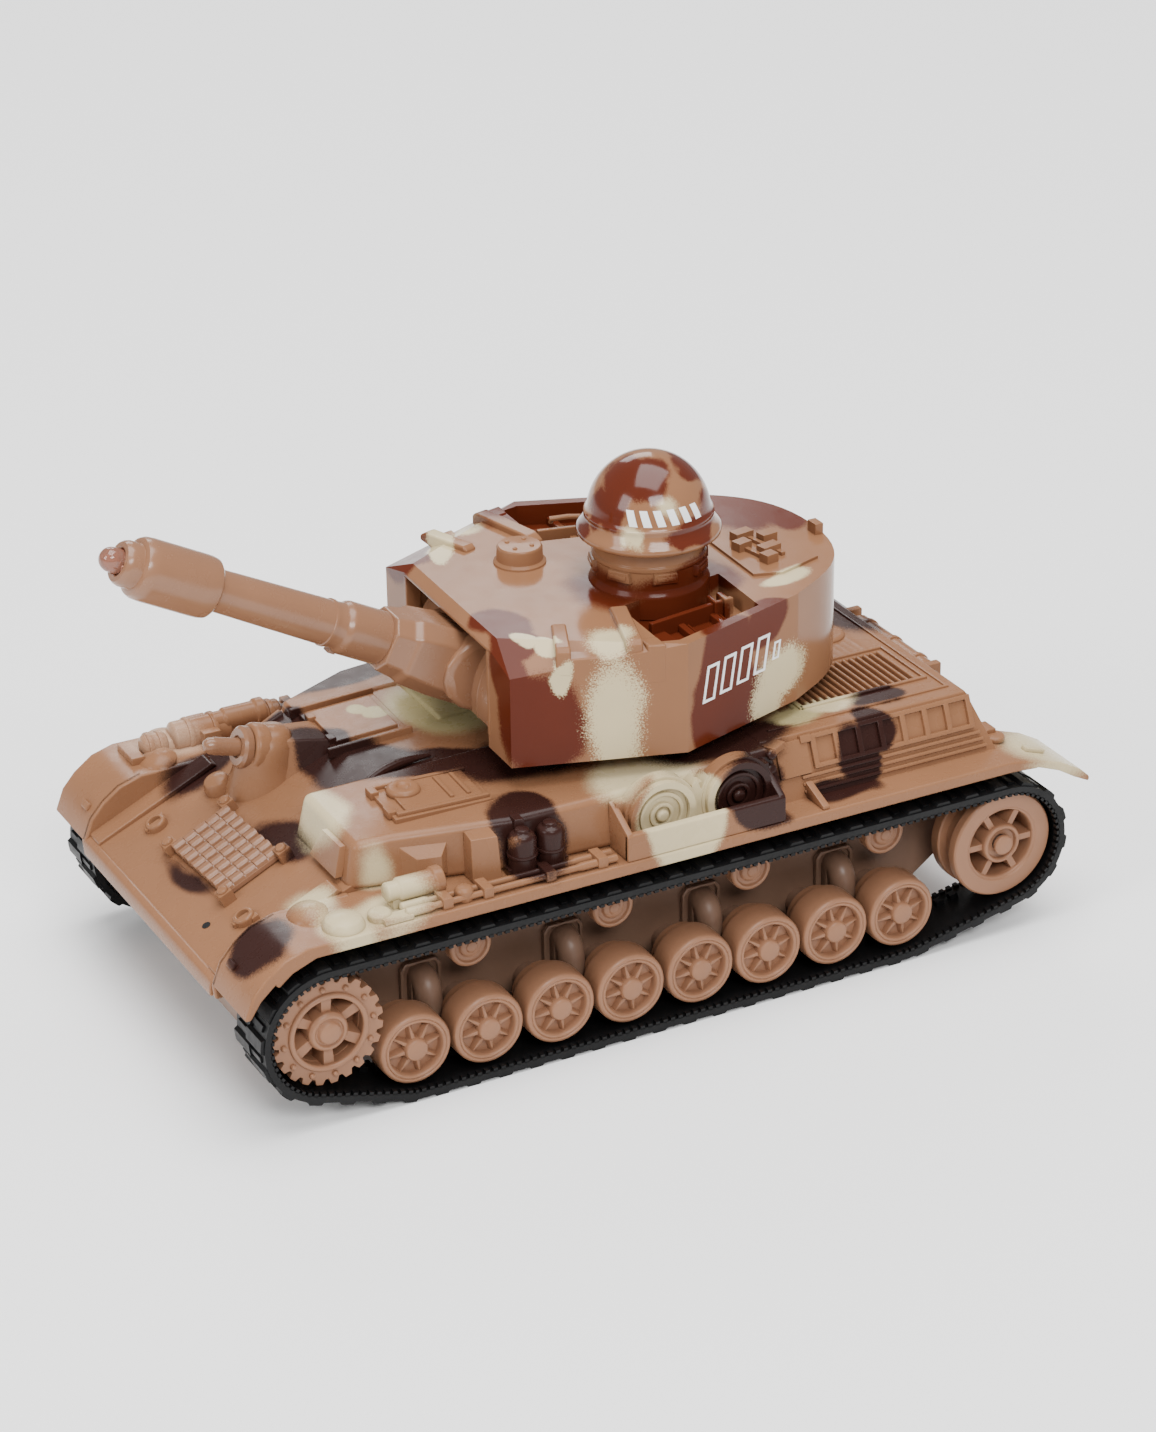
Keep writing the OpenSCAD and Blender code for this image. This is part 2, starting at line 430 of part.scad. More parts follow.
// ---------- turret ----------
module tplace() { place() translate([pivot[0], 0, 0]) rotate([0, 0, turret_yaw]) children(); }
tf = [[38.8, 30.6], [4.5, 40.4], [-26, 29.5], [-38.5, 21.5], [-44.6, 12.5], [-46.5, 0]];
function tplan(k) = let (h = [for (p = tf) [p[0] * k + (k < 1 ? -0.3 : 0), p[1] * k]]) concat(h, [for (i = [len(h) - 2 : -1 : 0]) [h[i][0], -h[i][1]]]);
well = [[8.5, 17.5], [8.5, 37.6], [4.5, 38.7], [-16.5, 31.7], [-16.5, 12.5]];
module turret_shell() {
  color([0.70, 0.53, 0.42]) tplace() {
    difference() {
      union() {
        difference() {
          xy(turret_z, roof_z, tplan(1));
          // hollow, leaving the floor and walls of the two stowage wells
          difference() {
            xy(turret_z - 1, roof_z - wall, tplan(0.95));
            both() xy(73.2, 90, [[10.2, 15.8], [10.2, 42], [-18.2, 42], [-18.2, 10.8]]);
          }
          // front edge is lower at the cheeks and set back in the middle
          xz(-50, 50, [[39.2, 75.6], [60, 75.6], [60, 95], [33, 95], [33, roof_z + 0.01]]);
        }
        // lugs over the sloped roof edge
        both() translate([26.1, 27.3, 0]) rotate([0, 0, -20]) bx(-1.5, 1.5, -6.3, 6.0, 74, 80.6);
        both() translate([11.9, 27.4, 0]) rotate([0, 0, -15.5]) bx(-1.9, 1.9, -9.2, 9.5, 74, 80.9);
        // round filler cap, rear roof hatch with blocks, lug and rail
        translate([16.9, -11.2, roof_z - 1]) cylinder(h = 2.2, r = 5.2);
        translate([16.9, -11.2, roof_z - 1]) cylinder(h = 5.0, r = 4.7);
        xy(roof_z - 1, roof_z + 0.7, [[-22.5, 17], [-28, 21.5], [-37.5, 16.5], [-41, 0], [-37.5, -13], [-22.5, -6]]);
        for (p = [[-30, 11], [-33.5, 4], [-28, 2]]) translate([p[0], p[1], roof_z]) bx(-1.4, 1.4, -2.6, 2.6, 0, 2.1);
        bx(-45.6, -43.6, -1.6, 1.6, roof_z - 1, roof_z + 2.2);
      }
      both() xy(75.0, 90, well);
      // ends of the gun opening
      bx(30, 45, -19.8, 19.8, 50, 76.8);
      bx(10, 36, -19.8, 19.8, 50, 76.8);
    }
    // cupola under the helmet, with vision blocks
    translate([-3.6, 7.4, 74.9]) rotate_extrude() polygon([[0, 0], [13.4, 0], [13.4, 4.2], [13.2, 5.1], [12.2, 6.3], [11.7, 8.4], [11.6, 12.5], [11.2, 15.35], [0, 15.35]]);
    for (a = [-64 : 64 : 128]) translate([-3.6, 7.4, 0]) rotate([0, 0, a + 66]) bx(10.6, 12.9, -3.4, 3.4, 83.6, 87.2);
  }
}
module turret_base() {
  color([0.62, 0.47, 0.37]) tplace() difference() {
    union() {
      // plate closes the turret behind the gun and carries the hollow turning boss
      intersection() { xy(turret_z + 0.05, turret_z + 1.6, tplan(0.945)); bx(-50, 60, -45, 45, 50, 70); }
      translate([0, 0, 48.4]) cylinder(h = turret_z - 48.3, r = 23.0);
      // trunnion brackets
      both() xz(20.3, 22.6, [[16, turret_z + 1], [28, turret_z + 1], [25.4, 64], [trun[0], 66], [18.6, 64]]);
    }
    translate([0, 0, 45]) cylinder(h = 9, r = 20.6);
    translate([0, 0, 45]) cylinder(h = 20, r = 9);
    bx(24.5, 50, -19.9, 19.9, 50, 60);
    both() ycyl(trun[0], trun[1], 20, 24, 2.06);
    for (a = [30, 150, 270]) rotate([0, 0, a]) translate([21.8, 0, 40]) cylinder(h = 13.5, r = 0.5);
  }
}
module turret_retainer() {
  color([0.15, 0.15, 0.15]) tplace() difference() {
    translate([0, 0, 46.8]) cylinder(h = 1.6, r = 26.4);
    translate([0, 0, 46]) cylinder(h = 4, r = 19.4);
    for (a = [30, 150, 270]) rotate([0, 0, a]) translate([21.8, 0, 40]) cylinder(h = 12, r = 0.6);
  }
}
module turret_screws() {
  color([0.6, 0.6, 0.62]) tplace() for (a = [30, 150, 270]) rotate([0, 0, a]) translate([21.8, 0, 45.7]) { cylinder(h = 1.1, r = 1.4); cylinder(h = 7, r = 0.48); }
}
module helmet() {
  // dome with a rolled brim, sitting on the cupola
  color([0.68, 0.50, 0.39]) tplace() translate([-3.6, 7.4, 0]) rotate_extrude() polygon(concat(
    [[0, 90.25], [13.2, 90.25], [13.8, 89.6], [14.8, 90.0], [14.9, 91.2], [14.2, 92.4], [13.2, 93.6]],
    [for (a = [4 : 8 : 84]) [12.75 * cos(a), 94.0 + 12.75 * sin(a)]], [[0, 106.75]]));
}

// ---------- gun ----------
module gplace() { tplace() translate([trun[0], 0, trun[1]]) rotate([0, -gun_elevation, 0]) children(); }
module gun_mantlet() {
  color([0.70, 0.53, 0.42]) gplace() {
    difference() {
      // curved shield about the trunnion axis, a sector of a drum
      ycyl(0, 0, -19.2, 19.2, 16.0);
      ycyl(0, 0, -25, 25, 14.2);
      xz(-25, 25, [[0, 0], [30 * cos(-38), 30 * sin(-38)], [30, -40], [-40, -40], [-40, 40], [30 * cos(56), 40], [30 * cos(56), 30 * sin(56)]]);
    }
    // arms back to the trunnions, and the trunnion pins
    both() xz(17.0, 19.2, [[-3, -3], [14.6, -6], [14.6, 5], [-3, 3]]);
    both() ycyl(0, 0, 17.2, 22.2, 2.0);
    // box in front of the shield
    translate([0, 0, -gun_drop]) {
      xz(-6.6, 6.6, [[13.2, -6.6], [34.0, -6.0], [34.0, 6.0], [13.2, 6.6]]);
      xz(-9.6, 9.6, [[13.6, -6.6], [22.0, -5.2], [22.0, 6.8], [13.2, 9.0]]);
    }
  }
}
module gun_barrel() {
  color([0.70, 0.53, 0.42]) gplace() translate([34.05, 0, -gun_drop]) rotate([0, 90, 0]) difference() {
    rotate_extrude() polygon([[0, 0], [5.5, 0], [5.5, 9.6], [4.7, 10.4], [4.3, 39.2], [5.6, 39.5], [muzzle_r - 0.2, 40.6], [muzzle_r, 41.8], [muzzle_r, 55.4], [muzzle_r - 0.7, 56.9], [4.7, 56.9], [4.7, 59.8], [4.2, 60.4], [0, 60.4]]);
    translate([0, 0, 54.2]) cylinder(h = 10, r = 2.56);
    translate([0, 0, -1]) cylinder(h = 57, r = 1.4);
  }
}
module muzzle_lamp() {
  color([0.8, 0.72, 0.68, 0.7]) gplace() translate([34.05, 0, -gun_drop]) rotate([0, 90, 0]) {
    translate([0, 0, 54.3]) cylinder(h = lamp_at - 34.05 - 54.3, r = led_r);
    intersection() { translate([0, 0, lamp_at - 34.05]) sphere(r = led_r); translate([-5, -5, lamp_at - 34.05 - e]) cube([10, 10, 10]); }
  }
}

// ---------- named nodes ----------
steel = [0.72, 0.72, 0.74];
upper_hull();
chassis_tub();
bogie_arms();
axle_bosses();
tub_fittings();
belt_left();
belt_right();
return_rollers();
wheel_pins();
spare_link_plate();
bow_gun();
gearbox_plates();
drive_motors();
circuit_board();
speaker();
battery_cells();
battery_contacts();
switch_body();
hull_screws();
turret_race();
battery_door();
battery_door_screw();
switch_knob();
color(tan_c) sprocket(1);  // sprocket_left
color(steel) drive_shaft(1);  // drive_shaft_left
color("white") final_gear(1);  // final_gear_left
color(tan_c) sprocket(-1);  // sprocket_right
color(steel) drive_shaft(-1);  // drive_shaft_right
color("white") final_gear(-1);  // final_gear_right
color(tan_c) idler(1);  // idler_left
color(tan_c) idler(-1);  // idler_right
color("white") compound_gear(1);  // compound_gear_left
color("white") compound_gear(-1);  // compound_gear_right
color("gold") motor_pinion(1);  // motor_pinion_left
color("gold") motor_pinion(-1);  // motor_pinion_right
color(tan_c) road_wheel(1, 1);  // road_wheel_left_1
color(tan_c) road_wheel(2, 1);  // road_wheel_left_2
color(tan_c) road_wheel(3, 1);  // road_wheel_left_3
color(tan_c) road_wheel(4, 1);  // road_wheel_left_4
color(tan_c) road_wheel(5, 1);  // road_wheel_left_5
color(tan_c) road_wheel(6, 1);  // road_wheel_left_6
color(tan_c) road_wheel(7, 1);  // road_wheel_left_7
color(tan_c) road_wheel(8, 1);  // road_wheel_left_8
color(tan_c) road_wheel(1, -1);  // road_wheel_right_1
color(tan_c) road_wheel(2, -1);  // road_wheel_right_2
color(tan_c) road_wheel(3, -1);  // road_wheel_right_3
color(tan_c) road_wheel(4, -1);  // road_wheel_right_4
color(tan_c) road_wheel(5, -1);  // road_wheel_right_5
color(tan_c) road_wheel(6, -1);  // road_wheel_right_6
color(tan_c) road_wheel(7, -1);  // road_wheel_right_7
color(tan_c) road_wheel(8, -1);  // road_wheel_right_8
turret_shell();
turret_base();
turret_retainer();
turret_screws();
helmet();
gun_mantlet();
gun_barrel();
muzzle_lamp();
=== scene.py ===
import math
import bpy
import bmesh
from mathutils import Matrix, Vector


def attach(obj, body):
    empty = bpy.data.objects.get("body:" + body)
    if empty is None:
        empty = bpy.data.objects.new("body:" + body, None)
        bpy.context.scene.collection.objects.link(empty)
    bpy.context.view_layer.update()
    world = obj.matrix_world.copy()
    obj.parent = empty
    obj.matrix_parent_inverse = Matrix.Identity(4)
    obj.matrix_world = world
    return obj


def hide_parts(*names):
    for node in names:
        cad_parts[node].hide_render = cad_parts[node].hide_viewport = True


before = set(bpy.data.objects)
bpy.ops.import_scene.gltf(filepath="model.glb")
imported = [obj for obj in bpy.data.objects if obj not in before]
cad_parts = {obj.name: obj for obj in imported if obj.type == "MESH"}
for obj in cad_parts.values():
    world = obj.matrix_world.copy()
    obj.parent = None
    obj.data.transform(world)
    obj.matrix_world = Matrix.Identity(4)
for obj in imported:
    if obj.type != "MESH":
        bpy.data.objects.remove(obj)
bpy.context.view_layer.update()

OX = 59.3688          # row x of the front road wheel axle, in mm
YAW = math.radians(-2.0)
ELEV = math.radians(27.4)
PIV = (-72.0, 0.0)
TRUN = (22.0, 61.6)
DROP = 2.8
sin, cos, pi = math.sin, math.cos, math.pi

# ------------------------------------------------------------------ mesh kit
# Shapes are drawn in millimetres in one of three local frames and end up in metres in the row frame.
HULL = Matrix.Translation((OX, 0, 0))
TUR = Matrix.Translation((OX + PIV[0], 0, 0)) @ Matrix.Rotation(YAW, 4, "Z")
GUN = TUR @ Matrix.Translation((TRUN[0], 0, TRUN[1])) @ Matrix.Rotation(-ELEV, 4, "Y")
MM = Matrix.Scale(0.001, 4)


class Shape:
    def __init__(self):
        self.v, self.f = [], []
        self.m = Matrix.Identity(4)

    def add(self, verts, faces):
        o = len(self.v)
        self.v += [self.m @ Vector(p) for p in verts]
        self.f += [[i + o for i in f] for f in faces]
        return self

    def loft(self, rings, closed=False, caps=True):
        n, k = len(rings[0]), len(rings)
        faces = []
        for a in range(k if closed else k - 1):
            b = (a + 1) % k
            faces += [[a * n + i, a * n + (i + 1) % n, b * n + (i + 1) % n, b * n + i] for i in range(n)]
        if caps and not closed:
            faces += [list(range(n))[::-1], [(k - 1) * n + i for i in range(n)]]
        return self.add([p for r in rings for p in r], faces)

    def box(self, x0, x1, y0, y1, z0, z1):
        return self.loft([[(x0, y0, z), (x1, y0, z), (x1, y1, z), (x0, y1, z)] for z in (z0, z1)])

    def obox(self, centre, size, rot=(0, 0, 0)):
        keep = self.m
        self.m = keep @ Matrix.Translation(centre) @ Matrix.Rotation(rot[2], 4, "Z") @ Matrix.Rotation(rot[1], 4, "Y") @ Matrix.Rotation(rot[0], 4, "X")
        a, b, c = (s / 2 for s in size)
        self.box(-a, a, -b, b, -c, c)
        self.m = keep
        return self

    def xz(self, y0, y1, pts):
        return self.loft([[(x, y, z) for x, z in pts] for y in (y0, y1)])

    def yz(self, x0, x1, pts):
        return self.loft([[(x, y, z) for y, z in pts] for x in (x0, x1)])

    def xy(self, z0, z1, pts):
        return self.loft([[(x, y, z) for x, y in pts] for z in (z0, z1)])

    def turn(self, origin, axis, prof, n=48, a0=0.0):
        """Solid of revolution: prof is a list of (radius, height) from one end of the axis to the other."""
        o, w = Vector(origin), Vector(axis).normalized()
        u = w.orthogonal().normalized() if abs(w.z) < 0.99 else Vector((1, 0, 0))
        if abs(w.y) > 0.99:
            u = Vector((1, 0, 0))
        t = w.cross(u)
        rings = []
        for r, h in prof:
            rr = max(r, 1e-3)
            rings.append([tuple(o + w * h + (u * cos(a0 + 2 * pi * i / n) + t * sin(a0 + 2 * pi * i / n)) * rr) for i in range(n)])
        return self.loft(rings)

    def ring(self, origin, axis, prof, n=48):
        """Closed revolved section that never reaches the axis."""
        o, w = Vector(origin), Vector(axis).normalized()
        u = Vector((1, 0, 0)) if abs(w.x) < 0.9 else Vector((0, 1, 0))
        u = (u - w * u.dot(w)).normalized()
        t = w.cross(u)
        rings = [[tuple(o + w * h + (u * cos(2 * pi * i / n) + t * sin(2 * pi * i / n)) * r) for r, h in prof] for i in range(n)]
        return self.loft(rings, closed=True)

    def tube(self, path, r, n=12):
        pts = [Vector(p) for p in path]
        rings, up = [], None
        for i, p in enumerate(pts):
            d = (pts[min(i + 1, len(pts) - 1)] - pts[max(i - 1, 0)]).normalized()
            if up is None:
                up = d.orthogonal().normalized()
            up = (up - d * up.dot(d)).normalized()
            s = d.cross(up)
            rr = r[i] if isinstance(r, (list, tuple)) else r
            rings.append([tuple(p + (up * cos(2 * pi * k / n) + s * sin(2 * pi * k / n)) * rr) for k in range(n)])
        return self.loft(rings)

    def mirrored(self):
        """Adds the same shapes again with Y reversed, in the drawing frame."""
        v, f = list(self.v), [list(x) for x in self.f]
        o = len(self.v)
        self.v += [Vector((p.x, -p.y, p.z)) for p in v]
        self.f += [[i + o for i in x[::-1]] for x in f]
        return self


def make(name, shape, mat, body, place=HULL, bevel=0.3, segs=2, replaces=(), smooth=38, cut=None, angle=32):
    mesh = bpy.data.meshes.new(name)
    mesh.from_pydata([tuple(p) for p in shape.v], [], shape.f)
    bm = bmesh.new()
    bm.from_mesh(mesh)
    bmesh.ops.remove_doubles(bm, verts=bm.verts, dist=1e-5)
    bmesh.ops.dissolve_degenerate(bm, edges=bm.edges, dist=1e-5)
    bmesh.ops.recalc_face_normals(bm, faces=bm.faces)
    bm.to_mesh(mesh)
    bm.free()
    ob = bpy.data.objects.new(name, mesh)
    bpy.context.scene.collection.objects.link(ob)
    if cut is not None:
        tool_mesh = bpy.data.meshes.new(name + "_cut")
        tool_mesh.from_pydata([tuple(p) for p in cut.v], [], cut.f)
        bm = bmesh.new()
        bm.from_mesh(tool_mesh)
        bmesh.ops.recalc_face_normals(bm, faces=bm.faces)
        bm.to_mesh(tool_mesh)
        bm.free()
        tool = bpy.data.objects.new(name + "_cut", tool_mesh)
        bpy.context.scene.collection.objects.link(tool)
        mod = ob.modifiers.new("cut", "BOOLEAN")
        mod.operation, mod.solver, mod.use_self, mod.object = "DIFFERENCE", "EXACT", True, tool
        bpy.context.view_layer.update()
        dg = bpy.context.evaluated_depsgraph_get()
        new = bpy.data.meshes.new_from_object(ob.evaluated_get(dg))
        ob.modifiers.clear()
        ob.data = new
        bpy.data.objects.remove(tool)
        bm = bmesh.new()
        bm.from_mesh(new)
        bmesh.ops.remove_doubles(bm, verts=bm.verts, dist=1e-4)
        bmesh.ops.dissolve_degenerate(bm, edges=bm.edges, dist=1e-3)
        bmesh.ops.triangulate(bm, faces=[f for f in bm.faces if len(f.verts) > 4], ngon_method="EAR_CLIP")
        bm.to_mesh(new)
        bm.free()
        mesh = new
    if bevel:
        mod = ob.modifiers.new("bevel", "BEVEL")
        mod.width, mod.segments, mod.limit_method, mod.angle_limit = bevel, segs, "ANGLE", math.radians(angle)
        mod.use_clamp_overlap = True
        bpy.context.view_layer.update()
        dg = bpy.context.evaluated_depsgraph_get()
        new = bpy.data.meshes.new_from_object(ob.evaluated_get(dg))
        ob.modifiers.clear()
        ob.data = new
        mesh = new
    bm = bmesh.new()
    bm.from_mesh(mesh)
    lim = math.radians(smooth)
    for e in bm.edges:
        e.smooth = not (len(e.link_faces) == 2 and e.calc_face_angle(0) > lim)
    for f in bm.faces:
        f.smooth = True
    bm.to_mesh(mesh)
    bm.free()
    mesh.transform(MM @ place)
    mesh.materials.clear()
    mesh.materials.append(mat)
    mod = ob.modifiers.new("normals", "WEIGHTED_NORMAL")
    mod.keep_sharp = True
    mod.weight = 80
    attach(ob, body)
    if replaces:
        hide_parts(*replaces)
    return ob


# ------------------------------------------------------------------ materials
def lin(r, g, b):
    return tuple((c / 255 / 12.92 if c / 255 <= 0.04045 else ((c / 255 + 0.055) / 1.055) ** 2.4) for c in (r, g, b)) + (1.0,)


TAN = (0.222, 0.104, 0.0520, 1)
DARK = (0.0250, 0.0090, 0.0070, 1)
RED = (0.0820, 0.0148, 0.0060, 1)
CREAM = (0.500, 0.415, 0.250, 1)
OLIVE = (0.360, 0.300, 0.150, 1)
BROWN = (0.175, 0.100, 0.066, 1)


class Nodes:
    def __init__(self, name):
        self.mat = bpy.data.materials.new(name)
        self.mat.use_nodes = True
        self.t = self.mat.node_tree
        self.bsdf = self.t.nodes["Principled BSDF"]
        tc = self.t.nodes.new("ShaderNodeTexCoord")
        self.co = tc.outputs["Object"]

    def n(self, kind, **kw):
        node = self.t.nodes.new(kind)
        for k, v in kw.items():
            setattr(node, k, v)
        return node

    def link(self, a, b):
        self.t.links.new(a, b)

    def noise(self, scale, detail=2.0, rough=0.5, vec=None, dist=0.0):
        node = self.n("ShaderNodeTexNoise")
        node.inputs["Scale"].default_value = scale
        node.inputs["Detail"].default_value = detail
        node.inputs["Roughness"].default_value = rough
        node.inputs["Distortion"].default_value = dist
        self.link(vec or self.co, node.inputs["Vector"])
        return node

    def math(self, op, a, b=None, c=None):
        node = self.n("ShaderNodeMath", operation=op)
        for i, x in enumerate((a, b, c)):
            if x is None:
                continue
            if isinstance(x, (int, float)):
                node.inputs[i].default_value = x
            else:
                self.link(x, node.inputs[i])
        return node.outputs[0]

    def ramp(self, val, a, b, lo=0.0, hi=1.0, kind="SMOOTHSTEP"):
        node = self.n("ShaderNodeMapRange", interpolation_type=kind)
        node.inputs["From Min"].default_value = a
        node.inputs["From Max"].default_value = b
        node.inputs["To Min"].default_value = lo
        node.inputs["To Max"].default_value = hi
        self.link(val, node.inputs["Value"])
        return node.outputs["Result"]

    def mix(self, fac, a, b):
        node = self.n("ShaderNodeMix", data_type="RGBA")
        for sock, x in ((node.inputs[0], fac), (node.inputs[6], a), (node.inputs[7], b)):
            if hasattr(x, "is_output"):
                self.link(x, sock)
            else:
                sock.default_value = x
        return node.outputs[2]

    def vary(self, colour, amount=0.06, scale=60):
        """Slow change of brightness over the surface, as moulded plastic shows."""
        n = self.noise(scale, 3)
        hsv = self.n("ShaderNodeHueSaturation")
        self.link(self.ramp(n.outputs["Fac"], 0.3, 0.7, 1 - amount, 1 + amount, "LINEAR"), hsv.inputs["Value"])
        if hasattr(colour, "is_output"):
            self.link(colour, hsv.inputs["Color"])
        else:
            hsv.inputs["Color"].default_value = colour
        return hsv.outputs["Color"]

    def finish(self, colour, rough=(0.35, 0.5), bump=0.06, bump_scale=1400, coat=0.0, coat_rough=0.1, spec=0.5):
        self.link(colour, self.bsdf.inputs["Base Color"])
        n = self.noise(260, 4, 0.6)
        self.link(self.ramp(n.outputs["Fac"], 0.3, 0.7, rough[0], rough[1], "LINEAR"), self.bsdf.inputs["Roughness"])
        fine = self.noise(bump_scale, 2, 0.5)
        wide = self.noise(90, 2, 0.5)
        h = self.math("ADD", self.math("MULTIPLY", fine.outputs["Fac"], 0.35), self.math("MULTIPLY", wide.outputs["Fac"], 1.6))
        b = self.n("ShaderNodeBump")
        b.inputs["Strength"].default_value = bump
        b.inputs["Distance"].default_value = 0.0004
        self.link(h, b.inputs["Height"])
        self.link(b.outputs["Normal"], self.bsdf.inputs["Normal"])
        self.bsdf.inputs["Coat Weight"].default_value = coat
        self.bsdf.inputs["Coat Roughness"].default_value = coat_rough
        self.bsdf.inputs["Specular IOR Level"].default_value = spec
        return self.mat

    def spots(self, colour, patches, place, warp=0.0022, warp_scale=75):
        """Sprayed patches, and on the hull also two patches of painted shade. Each is (x, y, z, rx, ry, rz, turn,
        colour, softness, speckle) in the drawing frame's millimetres.
        """
        warp_n = self.noise(warp_scale, 2, 0.4)
        sub = self.n("ShaderNodeVectorMath", operation="SUBTRACT")
        self.link(warp_n.outputs["Color"], sub.inputs[0])
        sub.inputs[1].default_value = (0.5, 0.5, 0.5)
        mul = self.n("ShaderNodeVectorMath", operation="SCALE")
        self.link(sub.outputs[0], mul.inputs[0])
        mul.inputs["Scale"].default_value = warp * 3
        add = self.n("ShaderNodeVectorMath", operation="ADD")
        self.link(self.co, add.inputs[0])
        self.link(mul.outputs[0], add.inputs[1])
        grain = self.noise(3200, 1, 0.5)
        for x, y, z, rx, ry, rz, turn, tint, soft, speck in patches:
            c = (MM @ place) @ Vector((x, y, z))
            mp = self.n("ShaderNodeMapping", vector_type="TEXTURE")
            mp.inputs["Location"].default_value = c
            extra = YAW if place is TUR else 0.0
            mp.inputs["Rotation"].default_value = (0, 0, math.radians(turn) + extra)
            mp.inputs["Scale"].default_value = (rx / 1000, ry / 1000, rz / 1000)
            self.link(add.outputs[0], mp.inputs["Vector"])
            ln = self.n("ShaderNodeVectorMath", operation="LENGTH")
            self.link(mp.outputs[0], ln.inputs[0])
            d = self.math("ADD", ln.outputs["Value"], self.math("MULTIPLY", self.math("SUBTRACT", grain.outputs["Fac"], 0.5), speck))
            mask = self.ramp(d, 1 + soft, 1 - soft, 0.0, 1.0)
            colour = self.mix(mask, colour, tint)
        return colour


def plastic(name, col, rough=(0.38, 0.52), vary=0.05, **kw):
    m = Nodes(name)
    return m.finish(m.vary(col, vary), rough, **kw)


# ---- camouflage of the hull, with two patches of painted shade beside the spare link plate
hm = Nodes("hull_camouflage_and_painted_shade")
hull_patches = [
    # dark on the front deck below the driver's hatch and towards the turret
    (-5.5, -26, 46, 6.5, 6.0, 8, 0, DARK, 0.12, 0.2),
    (-8.0, -11, 48, 6.0, 8.5, 8, 10, DARK, 0.12, 0.2),
    (-12.5, 0, 49.5, 12, 9.0, 8, -30, DARK, 0.12, 0.2),
    (-23, 8, 50.5, 15, 7.5, 8, -25, DARK, 0.12, 0.2),
    (-40, 17, 51, 14, 10, 5, -10, DARK, 0.2, 0.25),
    (-27, -36, 49, 14, 4.6, 12, 0, DARK, 0.2, 0.3),
    (8.5, -31, 40, 11, 5.5, 8, 15, DARK, 0.22, 0.3),
    # painted shade: a dark patch at the spare link plate's upper edge and a thin one along its lower edge, where the
    # plate shades the glacis
    (8.5, 8, 40, 4.5, 10, 4, 8, DARK, 0.22, 0.3),
    (26.2, 0, 32, 1.9, 9, 3, 4, DARK, 0.4, 0.3),
    # olive cream behind the driver's hatch and a spot on it
    (-36, -13, 51, 8.5, 13, 8, 15, OLIVE, 0.25, 0.3),
    (-23.5, -17, 51, 3.6, 3.2, 5, 30, OLIVE, 0.12, 0.2),
    (-20.5, -20.5, 51, 2.4, 3.0, 5, 30, OLIVE, 0.12, 0.2),
    # front left block and the fender in front of it
    (3.0, 15.5, 47, 4.8, 9.5, 8, 0, CREAM, 0.34, 0.4),
    (-0.5, 31.5, 43, 4, 3.8, 6, 0, CREAM, 0.4, 0.3),
    (15, 33.5, 38, 4.6, 7, 9, 0, CREAM, 0.45, 0.5),
    (1, 44.4, 42, 8.4, 6, 6.4, 0, CREAM, 0.3, 0.4),
    (12, 46, 40, 5, 6, 7, 0, CREAM, 0.35, 0.5),
    # near front mudguard
    (28.5, 41, 38, 7.5, 7.5, 7, 15, DARK, 0.16, 0.3),
    # fuel cans
    (-31, 43, 44, 7.0, 8, 8, 0, DARK, 0.12, 0.2),
    (-30, 38, 50, 6.5, 9, 7, 0, DARK, 0.12, 0.2),
    # stowage bin
    (-61.6, 46, 45, 9.6, 8, 14, 0, CREAM, 0.08, 0.15),
    (-58, 36, 52, 12, 9, 5, 0, CREAM, 0.22, 0.3),
    (-79.0, 45, 47, 9.2, 9, 9, 0, DARK, 0.08, 0.15),
    (-79, 33, 52, 16, 7, 6, 0, DARK, 0.22, 0.3),
    # rear flank, narrow slanting patch
    (-105.4, 42, 46.0, 4.6, 8, 6.4, 0, DARK, 0.12, 0.2),
    (-110.6, 39, 50.4, 4.6, 6, 4.0, 0, DARK, 0.12, 0.2),
    (-117, 31.5, 52.4, 6.0, 3.6, 4, 0, DARK, 0.14, 0.2),
    (-99.5, 43.6, 40.3, 7, 3.4, 2.4, 0, DARK, 0.25, 0.3),
    (-97, 30.5, 52.4, 6, 5, 4, 0, OLIVE, 0.25, 0.3),
    (-106, 30.0, 52.4, 6.5, 3.0, 3, 0, CREAM, 0.25, 0.3),
    (-90, 14, 52.4, 12, 10, 5, 0, DARK, 0.3, 0.3),
    (-151, 43, 36, 11, 11, 6, 0, CREAM, 0.3, 0.4),
    (-134, -8, 52.4, 10, 12, 8, 0, DARK, 0.2, 0.3),
    # far side
    (12, -44, 39, 9, 6, 6, 0, (0.42, 0.27, 0.18, 1), 0.4, 0.5),
    (-62, -45, 44, 14, 12, 10, 0, CREAM, 0.15, 0.3),
    (-88, -45, 45, 9, 10, 12, 0, DARK, 0.15, 0.3),
    (-126, -40, 45, 9, 12, 12, -10, DARK, 0.15, 0.3),
    (-108, -30, 52.4, 9, 8, 5, 0, OLIVE, 0.2, 0.3),
    (-24, -44, 43, 12, 6, 6, 0, DARK, 0.2, 0.3),
    (-152, -42, 35, 9, 9, 5, 0, DARK, 0.25, 0.3),
]
MAT_HULL = hm.finish(hm.vary(hm.spots(TAN, hull_patches, HULL), 0.05), (0.22, 0.34), bump=0.05, spec=0.17)

